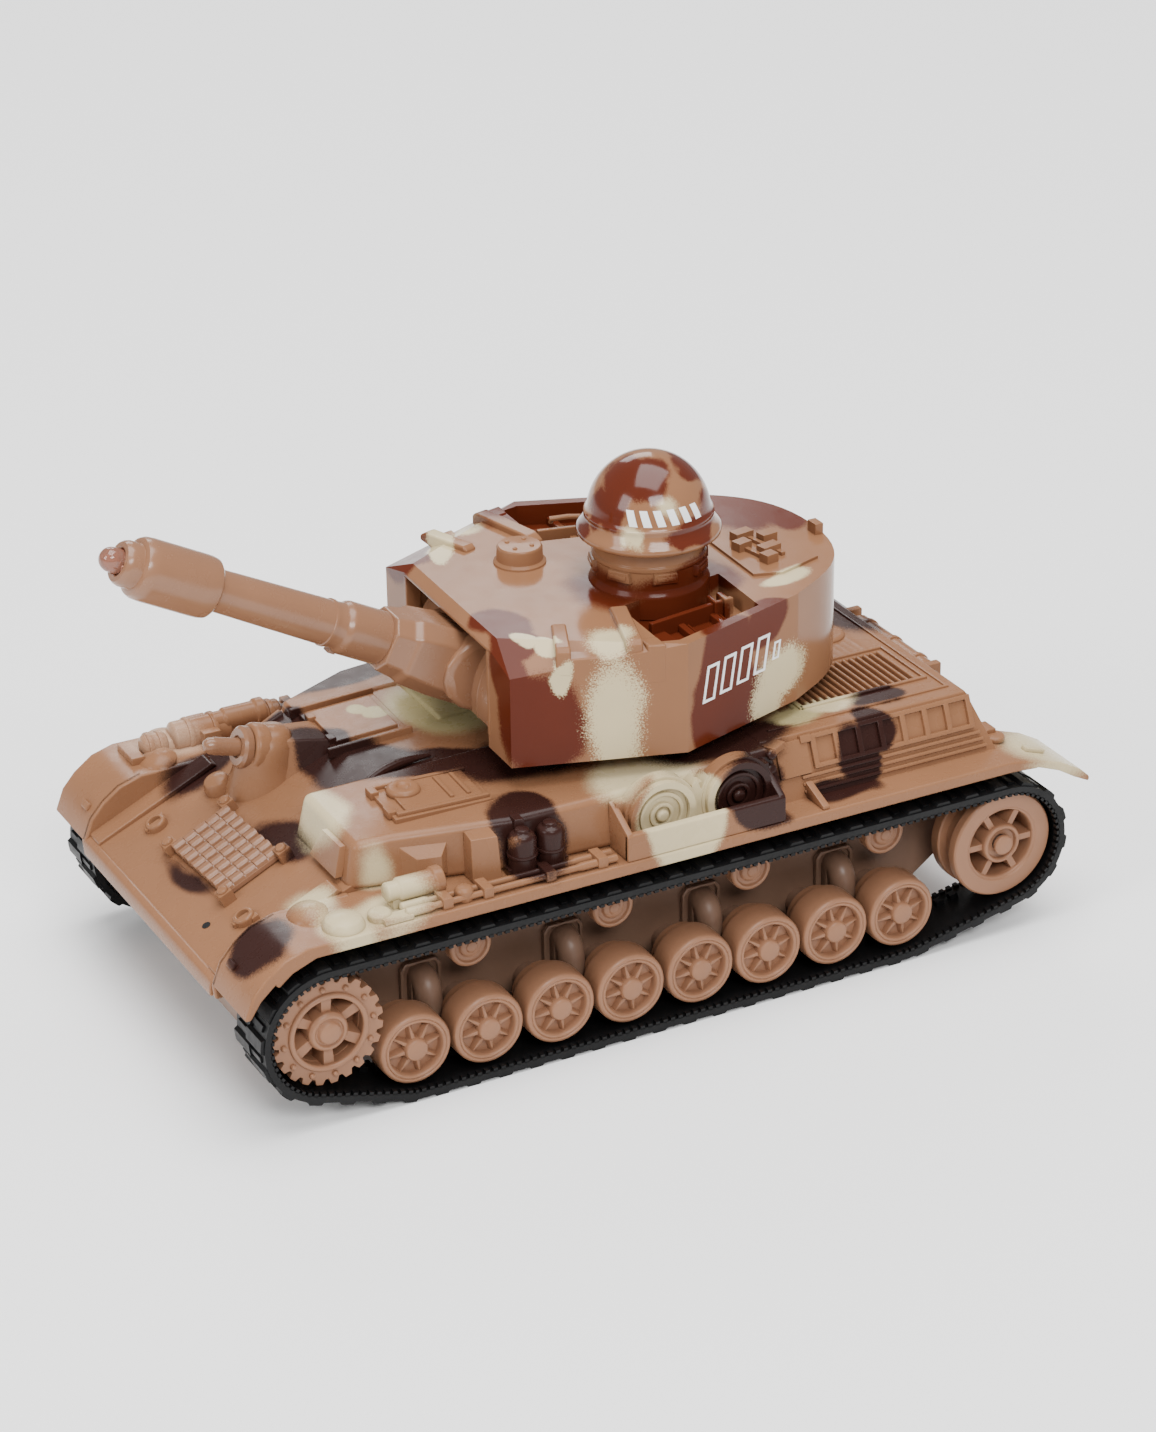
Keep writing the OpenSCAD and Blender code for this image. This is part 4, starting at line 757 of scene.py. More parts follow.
s.turn((0, 0, -0.2), (0, 0, 1), [(0, 0), (4.3, 0), (4.4, 0.5), (4.4, 1.4), (3.8, 2.0), (2.4, 2.0), (2.2, 1.5), (1.9, 1.6), (1.85, 7.2), (1.7, 8.4), (1.1, 9.3), (0.3, 9.55)], 32)
s.m = Matrix.Identity(4)
make("bow_gun_stub", s, MAT_TAN, "hull", bevel=0, replaces=["bow_gun"])

# corrugated spare link plate with corner clips
s = Shape()
s.m = Matrix.Translation((17.7, 0.8, glacis(17.7))) @ Matrix.Rotation(GA, 4, "Y") @ Matrix.Rotation(math.radians(3), 4, "Z")
s.box(-7.0, 7.0, -12.4, 12.0, 0.25, 1.3)
nr = 8
for i in range(nr):
    y = -11.0 + i * 3.08
    prof = [(y - 1.42, 1.0), (y - 1.1, 2.1), (y - 0.5, 2.55), (y + 0.5, 2.55), (y + 1.1, 2.1), (y + 1.42, 1.0)]
    for j in range(5):
        x0 = -7.1 + j * 2.84
        dz = 0.16 if (i + j) % 2 else 0.0
        s.loft([[(x, yy, zz - dz if k not in (0, 5) else zz) for k, (yy, zz) in enumerate(prof)] for x in (x0 + 0.06, x0 + 2.78)])
    s.loft([[(x, yy, zz - 0.35 if k not in (0, 5) else zz) for k, (yy, zz) in enumerate(prof)] for x in (-7.0, 7.0)])
s.m = Matrix.Identity(4)
make("spare_links", s, MAT_TAN, "hull", bevel=0.16, segs=2, replaces=["spare_link_plate"])
s = Shape()
s.m = Matrix.Translation((17.7, 0.8, glacis(17.7))) @ Matrix.Rotation(GA, 4, "Y") @ Matrix.Rotation(math.radians(3), 4, "Z")
for x in (-7.4, 7.0):
    for y in (-12.9, 12.6):
        s.obox((x, y, 1.0), (3.0, 2.9, 3.4))
        s.turn((x, y, 2.4), (0, 0, 1), [(0, 0), (1.2, 0), (1.2, 0.7), (0.8, 1.0), (0, 1.0)], 16)
s.box(6.9, 8.2, -11.5, 11.5, -0.6, 0.22)
s.m = Matrix.Identity(4)
make("spare_link_clips", s, MAT_HULL, "hull", bevel=0.4)
# black disc flush with the glacis: painted shade standing in for the dark inside of a small hole
s = Shape()
s.turn((29.4, 16.5, glacis(29.4) - 0.35), (sin(GA), 0, cos(GA)), [(0, 0), (0.9, 0), (0.9, 0.42), (0, 0.42)], 16)
make("glacis_hole_painted_shade", s, MAT_BLACK, "hull", bevel=0)

# far fender load: rolled bundles and boxes seen over the glacis
s = Shape()
for x0, x1, y, r in ((-2, 12, -43.5, 3.3), (13, 19, -42.0, 2.7), (-14, -4, -44.0, 2.9)):
    s.turn((x0, y, 41.6), (1, 0, 0), [(0, 0), (r * 0.7, 0.2), (r, 0.9), (r, x1 - x0 - 0.9), (r * 0.7, x1 - x0 - 0.2), (0, x1 - x0)], 22)
    for k in (0.3, 0.7):
        s.ring((x0 + (x1 - x0) * k, y, 41.6), (1, 0, 0), [(r - 0.2, -0.6), (r + 0.35, -0.6), (r + 0.35, 0.6), (r - 0.2, 0.6)], 22)
s.box(19.5, 22.5, -46.5, -38.0, 39.8, 41.6)
s.box(2.0, 6.0, -48.5, -38.5, 40.0, 43.2)
make("far_fender_load", s, MAT_HULL, "hull", bevel=0.4)

# rear plate details: silencer, tow pins, lamps
s = Shape()
s.turn((-139.4, -14, 45.2), (0, 1, 0), [(0, 0), (2.0, 0), (2.6, 0.6), (2.6, 27.4), (2.0, 28), (0, 28)], 28)
for y in (-10, 0, 10):
    s.ring((-139.4, y, 45.2), (0, 1, 0), [(2.4, -0.7), (2.95, -0.7), (2.95, 0.7), (2.4, 0.7)], 28)
s.box(-141.2, -136.0, -17, -15, 42.2, 48.4)
s.box(-141.2, -136.0, 15, 17, 42.2, 48.4)
for y in (-27, 27):
    s.box(-139.6, -136.5, y - 3, y + 3, 42.0, 46.8)
    s.turn((-139.4, y, 44.4), (-1, 0, 0), [(0, 0), (1.7, 0), (1.7, 0.8), (1.1, 1.3), (0, 1.3)], 20)
make("rear_fittings", s, MAT_HULL, "hull", bevel=0.3)

# ------------------------------------------------------------------ chassis: elbow arms and boss caps
s = Shape()
for sg in (1, -1):
    for x in (-8, -40, -72, -104):
        # framed pad on the tub's wall
        frame_out = [(x - 4.5, 12.2), (x + 4.5, 12.2), (x + 4.5, 20.2), (x + 3.4, 21.6), (x - 3.4, 21.6), (x - 4.5, 20.2)]
        s.xz(*sorted((sg * 34.0, sg * 34.6)), frame_out)
        rim = [(x - 4.5, 12.2), (x - 4.5, 20.2), (x - 3.4, 21.6), (x + 3.4, 21.6), (x + 4.5, 20.2), (x + 4.5, 12.2), (x + 3.7, 12.2), (x + 3.7, 19.8), (x + 3.0, 20.8), (x - 3.0, 20.8), (x - 3.7, 19.8), (x - 3.7, 12.2)]
        s.xz(*sorted((sg * 34.5, sg * 35.3)), rim)
        # elbow that leaves the wall and turns down between two wheels
        pts = [(x, sg * 34.2, 18.3), (x, sg * 35.4, 18.3)] + [(x, sg * (35.4 + 2.9 * math.sin(math.radians(a))), 15.4 + 2.9 * math.cos(math.radians(a))) for a in range(15, 91, 15)] + [(x, sg * 38.3, 11.2)]
        s.tube(pts, 2.85, 22)
        s.xz(*sorted((sg * 34.4, sg * 36.6)), [(x - 2.9, 13.0), (x + 2.9, 13.0), (x + 2.9, 18.4), (x + 2.0, 20.4), (x - 2.0, 20.4), (x - 2.9, 18.4)])
make("elbow_arms", s, MAT_BROWN, "hull", bevel=0.35, replaces=["bogie_arms"] if "bogie_arms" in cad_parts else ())

# ------------------------------------------------------------------ belts
def tangents(c, r):
    out = []
    n = len(c)
    for i in range(n):
        (x1, z1), (x2, z2) = c[i], c[(i + 1) % n]
        d = math.hypot(x2 - x1, z2 - z1)
        a = math.atan2(z2 - z1, x2 - x1) + pi / 2 - math.asin((r[i] - r[(i + 1) % n]) / d)
        out.append(a)
    return out


C = [(18.4, 20.1), (0, 10.8), (-112, 10.8), (-136.8, 20.4)]
R = [15.1, 10.8, 10.8, 14.9]
TAN_A = tangents(C, R)
path = []           # (x, z, nx, nz) on the outer face
for i in range(4):
    a0, a1 = TAN_A[i - 1], TAN_A[i]
    sweep = (a0 - a1) % (2 * pi)
    k = max(2, int(math.ceil(sweep * R[i] / 0.5)))
    for j in range(k + 1):
        a = a0 - sweep * j / k
        path.append((C[i][0] + R[i] * cos(a), C[i][1] + R[i] * sin(a), cos(a), sin(a)))
lens = [0.0]
loop = path + [path[0]]
for a, b in zip(loop, loop[1:]):
    lens.append(lens[-1] + math.hypot(b[0] - a[0], b[1] - a[1]))
TOTAL = lens[-1]


def at(sv):
    sv %= TOTAL
    lo, hi = 0, len(lens) - 1
    while hi - lo > 1:
        mid = (lo + hi) // 2
        if lens[mid] <= sv:
            lo = mid
        else:
            hi = mid
    t = (sv - lens[lo]) / max(1e-9, lens[lo + 1] - lens[lo])
    a, b = loop[lo], loop[lo + 1]
    nx, nz = a[2] + (b[2] - a[2]) * t, a[3] + (b[3] - a[3]) * t
    m = math.hypot(nx, nz)
    return a[0] + (b[0] - a[0]) * t, a[1] + (b[1] - a[1]) * t, nx / m, nz / m


def band(q, s0, s1, d0, d1, y0, y1, taper=0.0, n=1):
    """A block on the belt from s0 to s1 along it, between depths d0 and d1 below the outer face."""
    rings = []
    for k in range(n + 1):
        ring = []
        for d, e in ((d0, taper), (d1, 0.0)):
            sv = (s0 + e) + (s1 - s0 - 2 * e) * k / n
            x, z, nx, nz = at(sv)
            ring.append((x - nx * d, z - nz * d))
        (xa, za), (xb, zb) = ring
        rings.append([(xa, y0, za), (xa, y1, za), (xb, y1, zb), (xb, y0, zb)])
    q.loft(rings)


def belt(sg):
    q = Shape()
    y0, y1 = sorted((sg * 37.6, sg * 51.1))
    n = 260
    rings = []
    for k in range(n):
        x, z, nx, nz = at(TOTAL * k / n)
        rings.append([(x - nx * 0.75, y0, z - nz * 0.75), (x - nx * 0.75, y1, z - nz * 0.75), (x - nx * 2.15, y1, z - nz * 2.15), (x - nx * 2.15, y0, z - nz * 2.15)])
    q.loft(rings, closed=True)
    m = 2 * round(TOTAL / 7.0)
    pitch = TOTAL / m
    yc = (y0 + y1) / 2
    for i in range(m):
        s0 = i * pitch
        # tread blocks of the two halves stand half a step apart, joined by a low bar
        ya, yb = (y0 + 0.3, yc + 0.6) if i % 2 else (yc - 0.6, y1 - 0.3)
        band(q, s0 - 0.9, s0 + 3.1, 0.0, 0.95, ya, yb, 0.7, 2)
        band(q, s0 + 0.2, s0 + 2.0, 0.3, 0.95, y0 + 1.6, y1 - 1.6, 0.3)
        # guide lug on the inner face, clear of the toothed wheel and the idler
        x, z, _, _ = at(s0 + 1.3)
        if math.hypot(x - 18.4, z - 20.1) > 17.5 and math.hypot(x + 136.8, z - 20.4) > 17.5:
            la, lb = sorted((sg * 40.2, sg * 41.9))
            band(q, s0 + 0.4, s0 + 2.2, 2.0, 3.3, la, lb)
        # teeth along both edges of the inner face
        for k in (0.0, 0.5):
            for ya, yb in ((y0, y0 + 1.2), (y1 - 1.2, y1)):
                band(q, s0 + k * pitch, s0 + k * pitch + 0.95, 2.0, 2.75, ya, yb)
    return q


make("track_left", belt(1), MAT_RUB, "hull", bevel=0, replaces=["belt_left"])
make("track_right", belt(-1), MAT_RUB, "hull", bevel=0, replaces=["belt_right"])


# ------------------------------------------------------------------ wheels
def road_wheel(x, sg):
    q = Shape()
    o = (x, 0, 10.8)
    ax = (0, sg, 0)
    q.ring(o, ax, [(1.6, 39.4), (6.2, 39.4), (6.4, 42.0), (7.2, 42.1), (7.6, 42.5), (7.78, 43.4), (7.8, 46.0), (7.72, 48.4), (7.5, 49.0), (7.1, 49.3), (6.7, 49.3), (6.55, 49.05), (6.4, 49.3), (6.0, 49.25), (5.75, 48.9), (5.6, 48.2), (5.55, 47.2), (1.6, 47.2)], 72)
    q.turn(o, ax, [(0, 47.0), (2.5, 47.0), (2.45, 49.2), (2.2, 49.75), (1.7, 49.95), (0, 50.0)], 40)
    keep = q.m
    for k in range(8):
        q.m = Matrix.Translation(o) @ Matrix.Rotation(pi * k / 4 + 0.18, 4, "Y")
        ya, yb = sg * 47.1, sg * 48.9
        q.loft([[(-0.85, ya, 2.2), (0.85, ya, 2.2), (0.62, ya, 5.7), (-0.62, ya, 5.7)], [(-0.4, yb, 2.2), (0.4, yb, 2.2), (0.12, sg * 48.2, 5.7), (-0.12, sg * 48.2, 5.7)]])
    q.m = keep
    return q


for side, sg in (("left", 1), ("right", -1)):
    for i in range(1, 9):
        make(f"wheel_{side}_{i}", road_wheel(-(i - 1) * 16.0, sg), MAT_WHEEL, f"wheel_{side}_{i}", bevel=0.12, replaces=[f"road_wheel_{side}_{i}"])


def sprocket(sg):
    q = Shape()
    o, ax, n = (18.4, 0, 20.1), (0, sg, 0), 23
    for y0, y1 in ((39.4, 41.8), (46.4, 48.9)):
        outer, inner = [], []
        for i in range(n):
            for k, r in ((-0.38, 10.6), (-0.22, 11.75), (0.22, 11.75), (0.38, 10.6)):
                a = (i + k) * 2 * pi / n
                outer.append((r * cos(a), r * sin(a)))
                inner.append((7.6 * cos(a), 7.6 * sin(a)))
        ya, yb = sg * y0, sg * y1
        m = len(outer)
        rings = []
        for pts, y in ((outer, ya), (outer, yb), (inner, yb), (inner, ya)):
            rings.append([(o[0] + px, y, o[2] + pz) for px, pz in pts])
        q.loft(rings, closed=True)
    q.ring(o, ax, [(7.4, 41.6), (10.0, 41.6), (10.0, 46.6), (7.4, 46.6)], 64)
    # recessed disc with six raised spokes
    q.ring(o, ax, [(1.6, 42.4), (7.8, 42.4), (7.8, 44.4), (1.6, 44.4)], 48)
    q.ring(o, ax, [(7.3, 48.6), (8.5, 48.6), (8.5, 49.3), (8.2, 49.6), (7.6, 49.6), (7.3, 49.3)], 64)
    q.turn(o, ax, [(0, 44.2), (4.3, 44.2), (4.2, 48.9), (3.7, 49.5), (3.1, 49.6), (2.9, 49.2), (2.5, 49.2), (2.2, 50.0), (1.5, 50.25), (0, 50.3)], 40)
    for k in range(6):
        q.m = Matrix.Translation(o) @ Matrix.Rotation(pi * k / 3, 4, "Y")
        q.loft([[(-1.5, sg * 44.2, 3.6), (1.5, sg * 44.2, 3.6), (1.9, sg * 44.2, 7.9), (-1.9, sg * 44.2, 7.9)], [(-0.9, sg * 48.2, 3.6), (0.9, sg * 48.2, 3.6), (1.2, sg * 48.6, 7.9), (-1.2, sg * 48.6, 7.9)]])
    for k in range(12):
        q.m = Matrix.Translation(o) @ Matrix.Rotation(pi * k / 6 + 0.1, 4, "Y")
        q.turn((0, sg * 48.7, 9.6), ax, [(0, 0), (0.62, 0), (0.6, 0.6), (0.35, 0.95), (0, 1.0)], 12)
    q.m = Matrix.Identity(4)
    return q


def idler(sg):
    q = Shape()
    o, ax = (-136.8, 0, 20.4), (0, sg, 0)
    q.ring(o, ax, [(7.6, 39.4), (11.5, 39.4), (11.9, 39.8), (11.9, 42.1), (11.6, 42.4), (10.0, 42.5), (10.0, 46.1), (11.6, 46.2), (11.9, 46.5), (11.9, 48.4), (11.5, 48.9), (8.5, 48.75), (8.2, 48.45), (7.9, 48.4), (7.65, 48.0), (7.6, 47.0)], 80)
    q.ring(o, ax, [(1.9, 36.4), (4.0, 36.4), (4.0, 39.0), (4.5, 39.6), (4.5, 48.2), (4.2, 48.8), (3.7, 48.9), (3.4, 48.6), (3.3, 47.9), (1.9, 47.9)], 56)
    for k in range(6):
        q.m = Matrix.Translation(o) @ Matrix.Rotation(pi * k / 3 + 0.52, 4, "Y")
        q.loft([[(-1.0, sg * 40.2, 4.2), (1.0, sg * 40.2, 4.2), (1.0, sg * 40.2, 7.9), (-1.0, sg * 40.2, 7.9)], [(-0.72, sg * 47.9, 4.2), (0.72, sg * 47.9, 4.2), (0.72, sg * 47.9, 7.9), (-0.72, sg * 47.9, 7.9)]])
    q.m = Matrix.Identity(4)
    q.turn(o, ax, [(0, 48.6), (2.2, 48.6), (2.2, 49.5), (1.7, 49.75), (0, 49.8)], 24)
    return q


for side, sg in (("left", 1), ("right", -1)):
    make(f"sprocket_wheel_{side}", sprocket(sg), MAT_WHEEL, f"drive_{side}", bevel=0.14, replaces=[f"sprocket_{side}"])
    make(f"idler_wheel_{side}", idler(sg), MAT_WHEEL, f"idler_wheel_{side}", bevel=0.14, replaces=[f"idler_{side}"])

s = Shape()
for sg in (1, -1):
    for x in (-16, -48, -80, -112):
        s.turn((x, 0, 26), (0, sg, 0), [(0, 34.0), (2.2, 34.0), (2.2, 38.4), (4.2, 38.4), (4.6, 38.8), (4.6, 41.6), (4.2, 42.0), (3.6, 42.0), (3.4, 41.4), (2.5, 41.3), (2.3, 42.0), (1.9, 42.2), (1.3, 42.2), (1.1, 42.5), (0, 42.6)], 40)
make("roller_wheels", s, MAT_WHEEL, "hull", bevel=0.12, replaces=["return_rollers"])

# ------------------------------------------------------------------ turret (drawn in the turret's frame)
rear = [(-26, 29.5), (-38.5, 21.5), (-44.6, 12.5), (-46.5, 0), (-44.6, -12.5)]
for _ in range(2):
    rear = [rear[0]] + [(a[0] * (1 - k) + b[0] * k, a[1] * (1 - k) + b[1] * k) for a, b in zip(rear, rear[1:]) for k in (0.25, 0.75)]
rear = [q for q in rear if q[1] > 0.3]
rear.append((rear[-1][0] - 0.02, 0.0))
P = [(38.8, 30.6), (4.5, 40.4)] + rear
ZT = [75.2, 79.6] + [79.6] * len(rear)
half_b = [(x, y, 55.7) for x, y in P]
half_t = [(x, y, z) for (x, y), z in zip(P, ZT)]
bot = half_b + [(x, -y, z) for x, y, z in half_b[-2::-1]]
top = half_t + [(x, -y, z) for x, y, z in half_t[-2::-1]]
n = len(bot)
roof = [(36.9, 20.5, 79.6), (36.9, -20.5, 79.6)]
verts = bot + top + roof + [(38.8, 20.5, 77.9), (38.8, -20.5, 77.9)]
faces = [list(range(n))[::-1]]
faces += [[i, i + 1, n + i + 1, n + i] for i in range(n - 1)]
A, B, Cc, Dd = 2 * n, 2 * n + 1, 2 * n + 2, 2 * n + 3
last = 2 * n - 1
faces += [[n - 1, 0, n, Cc, Dd, last]]
faces += [[Cc, A, B, Dd]]
faces += [[n, A, Cc], [last, Dd, B]]
faces += [[n, n + 1, A], [last, B, last - 1]]
faces += [[A] + [n + i for i in range(1, n - 1)] + [B]]
s = Shape().add(verts, faces)
WELL = [(8.2, 18.6), (8.2, 36.9), (4.6, 37.9), (-16.6, 30.6), (-16.6, 13.2)]
cut = Shape()
for sg in (1, -1):
    cut.loft([[(x + (0.5 if x > 0 else -0.0), sg * y, z) for x, y in WELL] for z in (75.0, 86.0)])
cut.box(14.5, 46, -19.8, 19.8, 50, 77.2)
cut.loft([[(x * 0.93 - 0.4, y * 0.93, z) for x, y in P + [(x, -y) for x, y in P[-2::-1]]] for z in (50, 57.0)])
make("turret_body", s, MAT_TUR, "turret", place=TUR, bevel=0.6, segs=3, replaces=["turret_shell"], cut=cut, angle=24)

s = Shape()
for sg in (1, -1):
    # fins over the roof edge and the low blocks on the side wall's top
    s.m = Matrix.Translation((26.0, sg * 27.2, 0)) @ Matrix.Rotation(-sg * math.radians(21), 4, "Z")
    s.loft([[(x, -6.9, 78.6), (x, 6.9, 74.8), (x, 6.9, 80.0), (x, 5.9, 80.7), (x, -5.2, 80.7), (x, -6.9, 79.8)] for x in (-1.5, 1.5)])
    s.m = Matrix.Translation((11.9, sg * 27.6, 0)) @ Matrix.Rotation(-sg * math.radians(15.5), 4, "Z")
    s.loft([[(x, -9.4, 78.6), (x, 9.9, 76.5), (x, 9.9, 80.2), (x, 8.8, 81.0), (x, -7.0, 81.0), (x, -9.4, 79.8)] for x in (-1.7, 1.7)]) if sg > 0 else s.loft([[(x, -9.9, 76.5), (x, 9.4, 78.6), (x, 9.4, 79.8), (x, 7.0, 81.0), (x, -8.8, 81.0), (x, -9.9, 80.2)] for x in (-1.7, 1.7)])
    s.m = Matrix.Identity(4)
    for xa, xb, zt in ((21.4, 27.6, 78.4), (8.6, 12.2, 79.9)):
        yw = (lambda x: 30.6 + (38.8 - x) * (40.4 - 30.6) / (38.8 - 4.5))
        s.loft([[(xa, sg * (yw(xa) + 0.05), z), (xb, sg * (yw(xb) + 0.05), z), (xb, sg * (yw(xb) - 4.2), z), (xa, sg * (yw(xa) - 4.2), z)] for z in (71.5, zt)])
make("turret_fins", s, MAT_TUR, "turret", place=TUR, bevel=0.45, segs=3)

# ribs and straps in the wells, wells' inner rails
s = Shape()
for sg in (1, -1):
    o = (lambda a, b: sorted((sg * a, sg * b)))
    for x in (-9.6, -1.6):
        s.box(x - 0.8, x + 0.8, *o(22.0, 33.0 if x < -5 else 36.0), 74.6, 76.6)
        s.box(x - 2.0, x - 1.4, *o(22.0, 33.0), 74.6, 76.0)
    s.obox((-4.5, sg * 24.4, 76.6), (21, 1.3, 4.0), (0, 0, sg * 0.19))
    s.obox((4.6, sg * 28.5, 75.4), (4.8, 8.0, 1.6), (0, 0, sg * 0.1))
    s.obox((-12.8, sg * 22.4, 77.0), (1.3, 4.0, 4.4))
    s.obox((-10.2, sg * 22.8, 77.0), (1.0, 4.0, 4.4))
make("well_ribs", s, MAT_TUR, "turret", place=TUR, bevel=0.3)

# cupola, filler cap, rear hatch panel, rail, lug
s = Shape()
CX, CY = -3.6, 7.4
s.turn((CX, CY, 75.2), (0, 0, 1), [(0, 0), (12.6, 0), (12.5, 4.4), (12.2, 5.0), (11.8, 5.5), (11.6, 6.2), (11.5, 9.8), (11.8, 10.0), (11.8, 10.9), (11.5, 11.1), (11.3, 13.4), (11.6, 13.8), (11.6, 14.9), (10.8, 15.0), (0, 15.0)], 64)
for k, a in enumerate((-64, -16, 32, 80, 128, 176, 224)):
    s.m = Matrix.Translation((CX, CY, 0)) @ Matrix.Rotation(math.radians(a), 4, "Z")
    s.loft([[(10.4, y, z) for y, z in ((-3.0, 82.4), (3.0, 82.4), (2.6, 85.4), (-2.6, 85.4))], [(12.2, y, z) for y, z in ((-2.6, 82.8), (2.6, 82.8), (2.3, 85.0), (-2.3, 85.0))]])
    s.box(11.6, 12.45, -1.9, 1.9, 83.4, 84.4)
s.m = Matrix.Identity(4)
make("cupola", s, MAT_TUR, "turret", place=TUR, bevel=0.25, angle=40)
s = Shape()
s.turn((16.9, -11.2, 79.0), (0, 0, 1), [(0, 0), (5.6, 0), (5.5, 1.0), (4.9, 1.5), (4.75, 4.0), (4.4, 4.5), (0, 4.7)], 44)
for k in range(4):
    a = pi / 4 + k * pi / 2
    s.turn((16.9 + 2.7 * cos(a), -11.2 + 2.7 * sin(a), 83.4), (0, 0, 1), [(0, 0), (0.55, 0), (0.5, 0.4), (0, 0.5)], 10)
s.tube([(2.2, -27.0, 79.5), (2.6, -26.6, 80.4), (-1, -25.6, 80.6), (-4.2, -24.6, 80.4), (-4.2, -24.6, 79.5)], 0.6, 10)
s.m = Matrix.Rotation(-YAW, 4, "Z")
s.xy(79.2, 80.2, [(-22.2, -2.6), (-21.6, 18.6), (-27.4, 20.6), (-37.8, 17.2), (-37.0, -11.8), (-29.0, -9.0)])
for x, y, a, w in ((-25.8, 6.5, 0.2, 3.4), (-28.4, 2.0, 0.15, 4.4), (-29.8, 10.8, 0.2, 4.6), (-32.6, 5.2, 0.12, 3.6), (-27.6, 14.6, 0.2, 3.0)):
    s.obox((x, y, 80.9), (w, 2.6, 2.4), (0, 0, a))
s.obox((-30.6, 8.2, 80.5), (1.0, 11, 1.0), (0, 0, 0.2))
s.obox((-26.6, 9.5, 80.5), (1.0, 9, 1.0), (0, 0, 0.2))
s.obox((-44.4, 5.2, 80.3), (1.9, 3.2, 3.4))
s.m = Matrix.Identity(4)
make("roof_fittings", s, MAT_TUR, "turret", place=TUR, bevel=0.3)
# raised lip round the gun opening
s = Shape()
s.box(35.6, 39.0, 19.6, 20.9, 58.5, 77.2)
s.box(35.6, 39.0, -20.9, -19.6, 58.5, 77.2)
s.box(37.2, 38.95, -20.9, 20.9, 77.05, 77.95)
make("gun_opening_frame", s, MAT_TUR, "turret", place=TUR, bevel=0.35)

# domed cover with a rolled brim
s = Shape()
prof = [(0, 90.25), (13.0, 90.25), (13.6, 89.75), (14.2, 89.7), (14.75, 90.1), (14.9, 90.7), (14.7, 91.3), (14.2, 91.9), (13.7, 92.7), (13.35, 93.5), (13.2, 93.9), (13.35, 94.2), (13.3, 94.7), (12.95, 94.9)]
prof += [(12.75 * cos(math.radians(a)), 94.0 + 12.75 * sin(math.radians(a))) for a in range(8, 90, 5)] + [(0, 106.74)]
s.turn((CX, CY, 0), (0, 0, 1), prof, 96)
make("domed_cover", s, MAT_DOME, "turret", place=TUR, bevel=0, replaces=["helmet"], smooth=50)

# plain slanted bars instead of any lettering: six solid ones on the dome, five outlined ones on the turret's side
s = Shape()
for k in range(6):
    a0 = math.radians(47 + k * 13.2)
    w, h0, h1 = math.radians(7.6), math.radians(7.5), math.radians(22.5)
    cols = []
    for i in range(7):
        t = i / 6
        el = h0 + (h1 - h0) * t
        az = a0 - math.radians(2.4) * (t - 0.5) * 2
        row = []
        for d in (0.0, 0.07):
            for sgn in (-0.5, 0.5):
                r = 12.76 + d
                aa = az + sgn * w
                row.append((CX + r * cos(el) * cos(aa), CY + r * cos(el) * sin(aa), 94.0 + r * sin(el)))
        cols.append([row[0], row[1], row[3], row[2]])
    s.loft(cols)
make("dome_bars", s, MAT_WHITE, "turret", place=TUR, bevel=0)
s = Shape()
pa, pb = Vector((4.5, 40.4, 0)), Vector((-26, 29.5, 0))
du = (pb - pa).normalized()
out = Vector((-du.y, du.x, 0))
if out.y < 0:
    out = -out
L = (pb - pa).length


def on_wall(u, z, d):
    q = pa + du * u + out * d
    return (q.x, q.y, z)


def bar(u, z0, z1, w, slant, t):
    """Outline of a slanted bar: four strips."""
    def pt(a, b):
        return (u + a * w + slant * b, z0 + (z1 - z0) * b)
    tw, th = t / w, t / (z1 - z0)
    for (a0, b0, a1, b1) in ((0, 0, 1, th), (0, 1 - th, 1, 1), (0, th, tw, 1 - th), (1 - tw, th, 1, 1 - th)):
        ring = [pt(a0, b0), pt(a1, b0), pt(a1, b1), pt(a0, b1)]
        s.loft([[on_wall(x, z, d) for x, z in ring] for d in (-0.15, 0.13)])


for k in range(4):
    bar(4.2 + k * 5.0, 64.9 + k * 0.35, 72.7 + k * 0.35, 3.5, 1.5, 0.6)
bar(24.9, 67.4, 71.2, 1.9, 0.7, 0.45)
make("side_bars", s, MAT_WHITE, "turret", place=TUR, bevel=0)

# ------------------------------------------------------------------ gun (drawn along its own axis)
s = Shape()
n = 30
ring = []
a0, a1 = math.radians(-38), math.radians(56)
outer = [(16.0 * cos(a0 + (a1 - a0) * k / n), 16.0 * sin(a0 + (a1 - a0) * k / n)) for k in range(n + 1)]
inner = [(14.2 * cos(a0 + (a1 - a0) * k / n), 14.2 * sin(a0 + (a1 - a0) * k / n)) for k in range(n + 1)][::-1]
s.xz(-19.1, 19.1, outer + inner)
# fine rings moulded round the shield
for y in (-18.6, -12.4, 12.4, 18.6):
    o2 = [(16.12 * cos(a0 + (a1 - a0) * k / n), 16.12 * sin(a0 + (a1 - a0) * k / n)) for k in range(n + 1)]
    i2 = [(15.6 * cos(a0 + (a1 - a0) * k / n), 15.6 * sin(a0 + (a1 - a0) * k / n)) for k in range(n + 1)][::-1]
    s.xz(y - 0.45, y + 0.45, o2 + i2)
for sg in (1, -1):
    ya, yb = sorted((sg * 17.0, sg * 19.1))
    s.xz(ya, yb, [(-3, -3), (14.4, -6), (14.4, 5), (-3, 3)])
    s.turn((0, sg * 17.0, 0), (0, sg, 0), [(0, 0), (2.0, 0), (2.0, 5.2), (0, 5.2)], 28)
make("mantlet_shield", s, MAT_TAN, "gun", place=GUN, bevel=0.25, replaces=["gun_mantlet"])
s = Shape()
D = -DROP
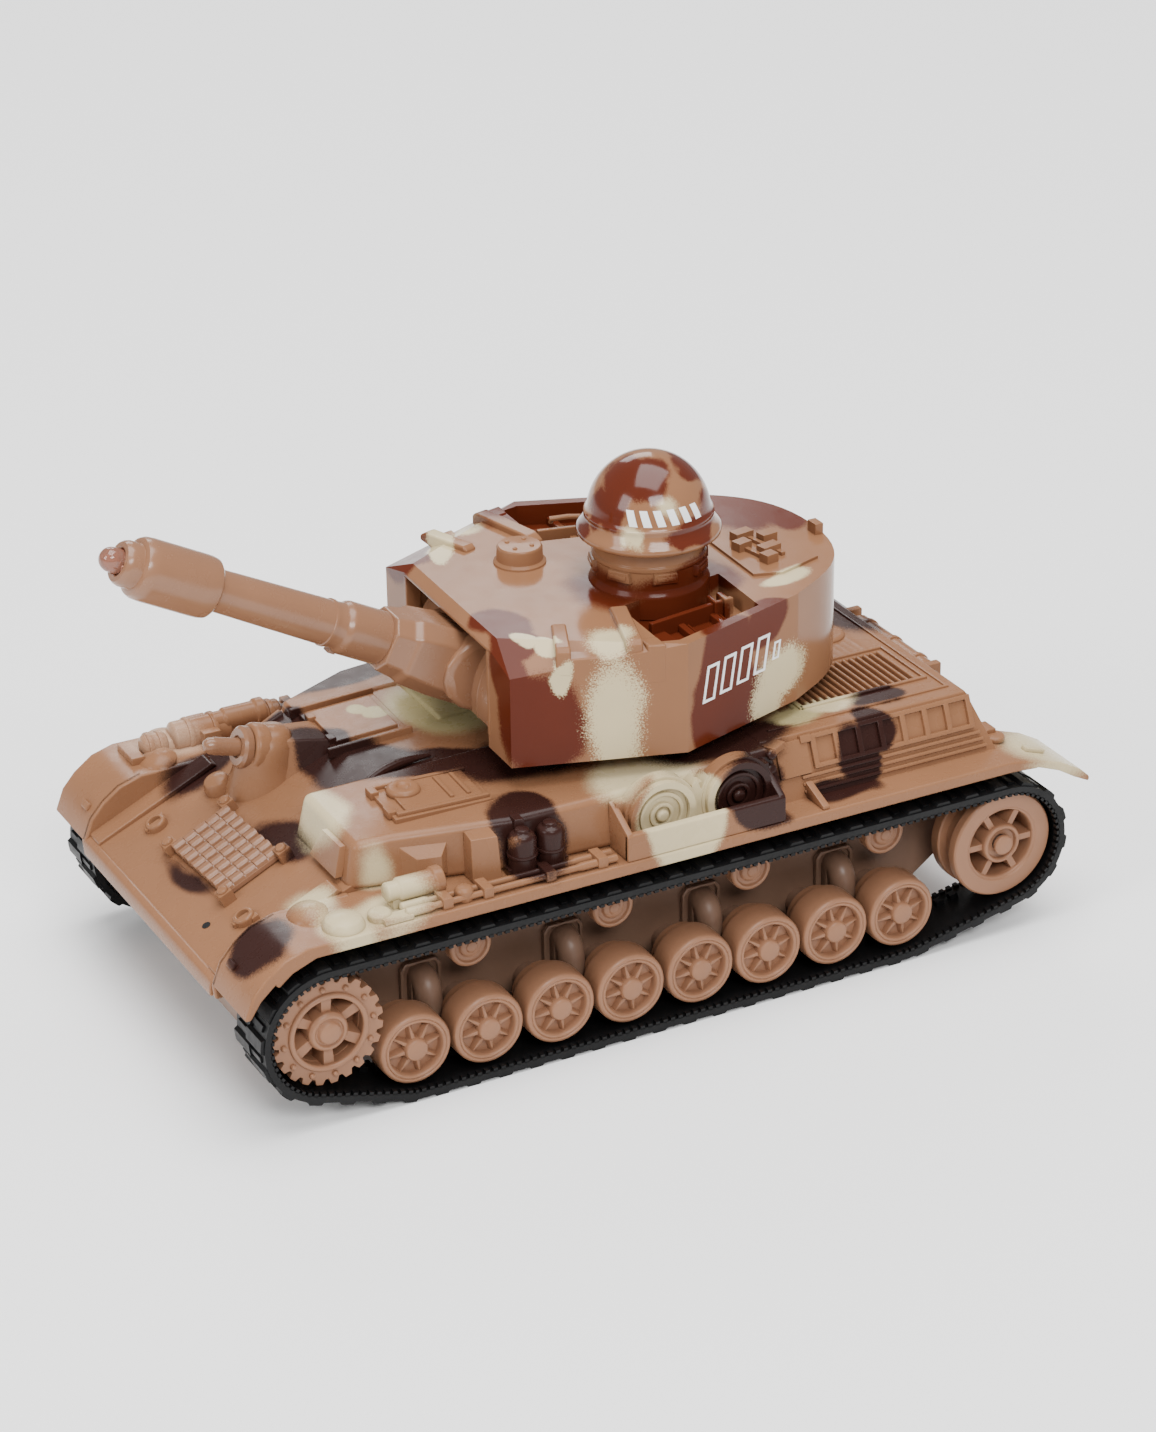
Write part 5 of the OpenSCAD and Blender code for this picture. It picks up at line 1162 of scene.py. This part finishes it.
# half drum that hugs the shield, then an eight-sided block, then a stepped nose
drum = [(12.0, D - 6.9), (15.8, D - 6.9), (19.0, D - 5.6), (21.2, D - 2.8), (22.0, D + 0.4), (21.2, D + 3.8), (19.2, D + 6.8), (16.4, D + 8.6), (12.4, D + 9.2)]
s.loft([[(12.0 + (x - 12.0) * k, y, D + (z - D) * kz) for x, z in drum] for y, k, kz in ((-9.9, 0.82, 0.9), (-9.2, 1.0, 1.0), (9.2, 1.0, 1.0), (9.9, 0.82, 0.9))])


def octo(x, w, h, c):
    return [(x, -w, D - h + c), (x, -w + c, D - h), (x, w - c, D - h), (x, w, D - h + c), (x, w, D + h - c), (x, w - c, D + h), (x, -w + c, D + h), (x, -w, D + h - c)]


s.loft([octo(14, 8.3, 7.6, 2.8), octo(22, 8.2, 7.5, 2.9), octo(28.8, 7.6, 7.0, 3.0), octo(30.0, 6.9, 6.4, 2.9), octo(34.0, 6.2, 5.8, 2.6)])
make("mantlet_block", s, MAT_TAN, "gun", place=GUN, bevel=0.8, segs=4, angle=25)

s = Shape()
b = 34.05
s.turn((b, 0, D), (1, 0, 0), [(0, -1.0), (5.0, -1.0), (5.4, -0.2), (5.55, 0.2), (5.55, 8.6), (5.35, 9.3), (5.0, 9.9), (4.8, 10.4), (4.72, 12), (4.45, 30), (4.3, 39.0), (4.4, 39.4), (5.6, 39.6), (6.1, 40.1), (6.32, 41.2), (6.36, 43), (6.36, 54.2), (6.2, 55.8), (5.8, 56.6), (5.2, 56.9), (4.75, 56.95), (4.65, 57.4), (4.65, 59.0), (4.4, 59.8), (4.0, 60.35), (3.0, 60.4), (2.75, 60.1), (2.62, 59.0), (2.6, 54.5), (0, 54.4)], 72)
# ring line on the barrel and the sleeve's seam
s.ring((b, 0, D), (1, 0, 0), [(4.6, 12.2), (4.95, 12.4), (4.95, 13.0), (4.6, 13.2)], 48)
s.obox((b + 9.4, 0, D - 5.2), (1.6, 2.2, 1.0))
make("barrel", s, MAT_TAN, "gun", place=GUN, bevel=0, replaces=["gun_barrel"], smooth=30)

s = Shape()
t0 = 95.9 - b
s.turn((b, 0, D), (1, 0, 0), [(0, 54.6), (2.5, 54.6)] + [(2.5, t0)] + [(2.5 * cos(math.radians(a)), t0 + 2.5 * sin(math.radians(a))) for a in range(8, 90, 8)] + [(0, t0 + 2.5)], 40)
make("lamp_lens", s, MAT_LAMP, "gun", place=GUN, bevel=0, replaces=["muzzle_lamp"], smooth=50)
s = Shape()
s.turn((b, 0, D), (1, 0, 0), [(0, 57.0), (0.9, 57.0), (1.5, 59.2), (1.4, 59.3), (0.8, 57.6), (0, 57.5)], 24)
s.obox((b + 58.6, 0.5, D), (3.6, 0.5, 0.5))
make("lamp_cup", s, MAT_STEEL, "gun", place=GUN, bevel=0)

# ------------------------------------------------------------------ CAD nodes that stay as they are
look = {
    "chassis_tub": MAT_BROWN, "bogie_arms": MAT_BROWN, "axle_bosses": MAT_BROWN, "tub_fittings": MAT_BROWN, "battery_door": MAT_BROWN,
    "wheel_pins": MAT_STEEL, "drive_shaft_left": MAT_STEEL, "drive_shaft_right": MAT_STEEL,
    "gearbox_plates": MAT_FRAME, "drive_motors": MAT_CAN, "circuit_board": MAT_BOARD, "speaker": MAT_BLACK,
    "battery_cells": MAT_CELL, "battery_contacts": MAT_STEEL, "switch_body": MAT_BLACK, "switch_knob": MAT_BLACK,
    "hull_screws": MAT_SCREW, "battery_door_screw": MAT_SCREW, "turret_screws": MAT_SCREW,
    "turret_race": MAT_BLACK, "turret_retainer": MAT_BLACK, "turret_base": MAT_TAN,
    "final_gear_left": MAT_GEAR, "final_gear_right": MAT_GEAR, "compound_gear_left": MAT_GEAR, "compound_gear_right": MAT_GEAR,
    "motor_pinion_left": MAT_BRASS, "motor_pinion_right": MAT_BRASS,
}
for node, mat in look.items():
    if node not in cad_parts:
        continue
    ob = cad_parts[node]
    for sl in ob.material_slots:
        sl.link = "OBJECT"
        sl.material = mat
    if not ob.material_slots:
        ob.data.materials.append(mat)

# ------------------------------------------------------------------ floor, light, camera
fl_mesh = bpy.data.meshes.new("floor")
fl_mesh.from_pydata([(-6, -6, 0), (6, -6, 0), (6, 6, 0), (-6, 6, 0)], [], [(0, 1, 2, 3)])
floor = bpy.data.objects.new("floor", fl_mesh)
bpy.context.scene.collection.objects.link(floor)
fm = Nodes("studio_floor")
MAT_FLOOR = fm.finish(fm.vary((0.93, 0.93, 0.93, 1), 0.003, 3), (0.8, 0.9), bump=0.0, spec=0.1)
fl_mesh.materials.append(MAT_FLOOR)

world = bpy.data.worlds.new("studio")
bpy.context.scene.world = world
world.use_nodes = True
bg = world.node_tree.nodes["Background"]
bg.inputs["Color"].default_value = (1.0, 1.0, 1.0, 1)
bg.inputs["Strength"].default_value = 0.42


def area(name, loc, target, size, power, col=(1, 1, 1)):
    d = bpy.data.lights.new(name, "AREA")
    d.shape, d.size, d.size_y, d.energy, d.color = "RECTANGLE", size[0], size[1], power, col
    o = bpy.data.objects.new(name, d)
    bpy.context.scene.collection.objects.link(o)
    o.location = loc
    o.rotation_mode = "QUATERNION"
    o.rotation_quaternion = (Vector(target) - Vector(loc)).to_track_quat("-Z", "Y")
    return o


area("key_top", (-0.1, 0.1, 2.4), (0, 0, 0.0), (2.2, 1.8), 92.0)
area("key_near", (0.25, 1.5, 1.35), (0, 0, 0.04), (0.9, 0.6), 30.0)
area("side_front", (1.5, 0.25, 0.9), (0, 0, 0.04), (0.6, 0.8), 14.0)
area("rim_far", (-0.5, -1.6, 1.1), (0, 0, 0.05), (0.9, 0.6), 10.0)

az, el, roll = math.radians(152.437), math.radians(26.229), math.radians(-0.83)
T = Vector((-62.4 + OX, 0, 47.4)) / 1000
back = Vector((sin(az) * cos(el), -cos(az) * cos(el), sin(el)))
cx = Vector((0, 0, 1)).cross(back).normalized()
cy = back.cross(cx)
ux = cx * cos(roll) + cy * sin(roll)
uy = -cx * sin(roll) + cy * cos(roll)
cam_data = bpy.data.cameras.new("camera")
cam_data.lens = 3856.96 / 1432 * 36
cam_data.sensor_width = 36
cam_data.sensor_fit = "AUTO"
cam_data.clip_start, cam_data.clip_end = 0.01, 20
cam = bpy.data.objects.new("camera", cam_data)
bpy.context.scene.collection.objects.link(cam)
m = Matrix((ux, uy, back)).transposed().to_4x4()
m.translation = T + back * 0.8042
cam.matrix_world = m
bpy.context.scene.camera = cam
